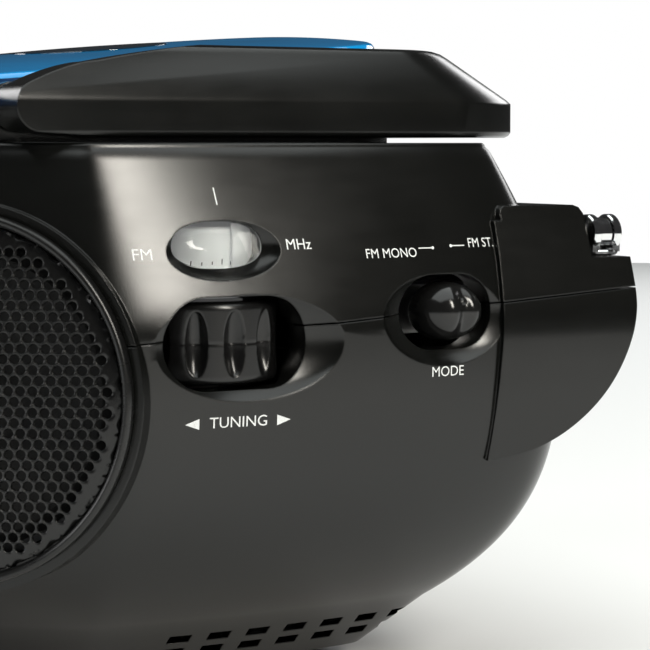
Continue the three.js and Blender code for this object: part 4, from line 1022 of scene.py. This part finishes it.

# ---------------------------------------------------------------- the works inside
# Everything behind the skins keeps its solid and takes a finish from the table below: boards in
# green, cans in plated steel, rods bright, mouldings in black and white nylon.
glass_dark = grained_plastic("display glass", (0.012, 0.02, 0.024), 0.06, swing=0.03, grain=0.01)
lcd = grained_plastic("liquid crystal", (0.23, 0.30, 0.24), 0.3, grain=0.02)
board_green = grained_plastic("board green", (0.01, 0.12, 0.04), 0.35, grain=0.3, fine=900)
nylon = grained_plastic("white nylon", (0.62, 0.60, 0.55), 0.4)
can = grained_plastic("plated can", (0.5, 0.5, 0.51), 0.3, metal=1.0, grain=0.05)
laminations = grained_plastic("laminated steel", (0.2, 0.2, 0.21), 0.5, metal=0.8, grain=0.4)
nickel = grained_plastic("nickel spring", (0.6, 0.58, 0.53), 0.25, metal=1.0)
FINISHES = [(glass_dark, "display_lens"), (lcd, "lcd_module"),
            (board_green, "key_board main_board"), (nylon, "lead_screw tuning_capacitor"),
            (can, "spindle_motor sled_motor mode_switch function_switch volume_control"),
            (laminations, "transformer"), (nickel, "battery_contact_right battery_contact_left"),
            (steel, "guide_rod_right guide_rod_left lid_hinge_pin"),
            (deck_black, "mains_inlet cd_chassis pickup_sled"),
            (deck_black, "handle_pivot_right handle_pivot_left")]
for finish, names in FINISHES:
    for name in names.split():
        paint(nodes[name], finish)
pins = [rod(1.1, 6, (-80 + k, 91, 70), (0, 1, 0), 32) for k in (-3.2, 3.2)]
for k, pin in enumerate(pins):
    pin.name = "inlet_pin_%d" % (k + 1)
    dress(pin, nickel, "case", angle=40)

# ---------------------------------------------------------------- studio
# A plain pale floor, soft boxes and a camera at the side of the front right corner.
world = bpy.data.worlds.new("studio")
bpy.context.scene.world = world
world.use_nodes = True
wt = world.node_tree
bg = wt.nodes["Background"]
path = wt.nodes.new("ShaderNodeLightPath")
level = wt.nodes.new("ShaderNodeMapRange")
level.inputs["To Min"].default_value, level.inputs["To Max"].default_value = 0.03, 1.0
link_nodes(wt, ((path, "Is Camera Ray"), (level, "Value")), ((level, "Result"), (bg, "Strength")))
bg.inputs["Color"].default_value = (1, 1, 1, 1)
t = 2 * np.pi * np.arange(96) / 96
floor = mesh_piece("floor", np.stack([1700 * np.cos(t), 1700 * np.sin(t), 0 * t - 0.2], -1),
                   [list(range(96))], False)
pale, _, _ = new_material("pale floor", (0.9, 0.9, 0.9), 0.6)
floor.data.materials.append(pale)


def soft_box(name, at, to, width, height, power):
    light = bpy.data.lights.new(name, "AREA")
    light.shape, light.size, light.size_y, light.energy = "RECTANGLE", width, height, power
    o = add_object(name, light)
    o.location = Vector(at)
    o.rotation_euler = (Vector(to) - Vector(at)).to_track_quat("-Z", "Y").to_euler()
    return o


over = soft_box("over", (0.0, 0.0, 2.0), (0, 0, 0.0), 2.6, 2.6, 40)
over.data.color = (0.95, 1.0, 0.985)
strip = soft_box("right", (1.10, 0.23, 0.80), (0.11, -0.01, 0.095), 0.24, 0.62, 12)
strip.data.color = (1.0, 0.96, 0.87)
soft_box("front left", (-0.5, -1.4, 0.5), (0.0, 0, 0.08), 0.7, 0.6, 6)
soft_box("behind", (-0.6, 1.4, 0.7), (0, 0, 0.1), 0.9, 0.5, 6)
soft_box("left", (-1.3, -0.3, 0.5), (0, 0, 0.1), 0.4, 0.8, 4)
cam_data = bpy.data.cameras.new("camera")
cam = add_object("camera", cam_data)
cam_data.lens = 130.2
cam_data.sensor_width = 36
cam_data.clip_start, cam_data.clip_end = 0.01, 20
look, down, away = np.radians(60), np.radians(4.43), 0.470
cam.location = (0.100 + away * np.sin(look), 0.028 - away * np.cos(look), 0.112)
way = Vector((-np.sin(look) * np.cos(down), np.cos(look) * np.cos(down), -np.sin(down)))
cam.rotation_euler = way.to_track_quat("-Z", "Y").to_euler()
bpy.context.scene.camera = cam
bpy.context.scene.view_settings.view_transform = "Standard"
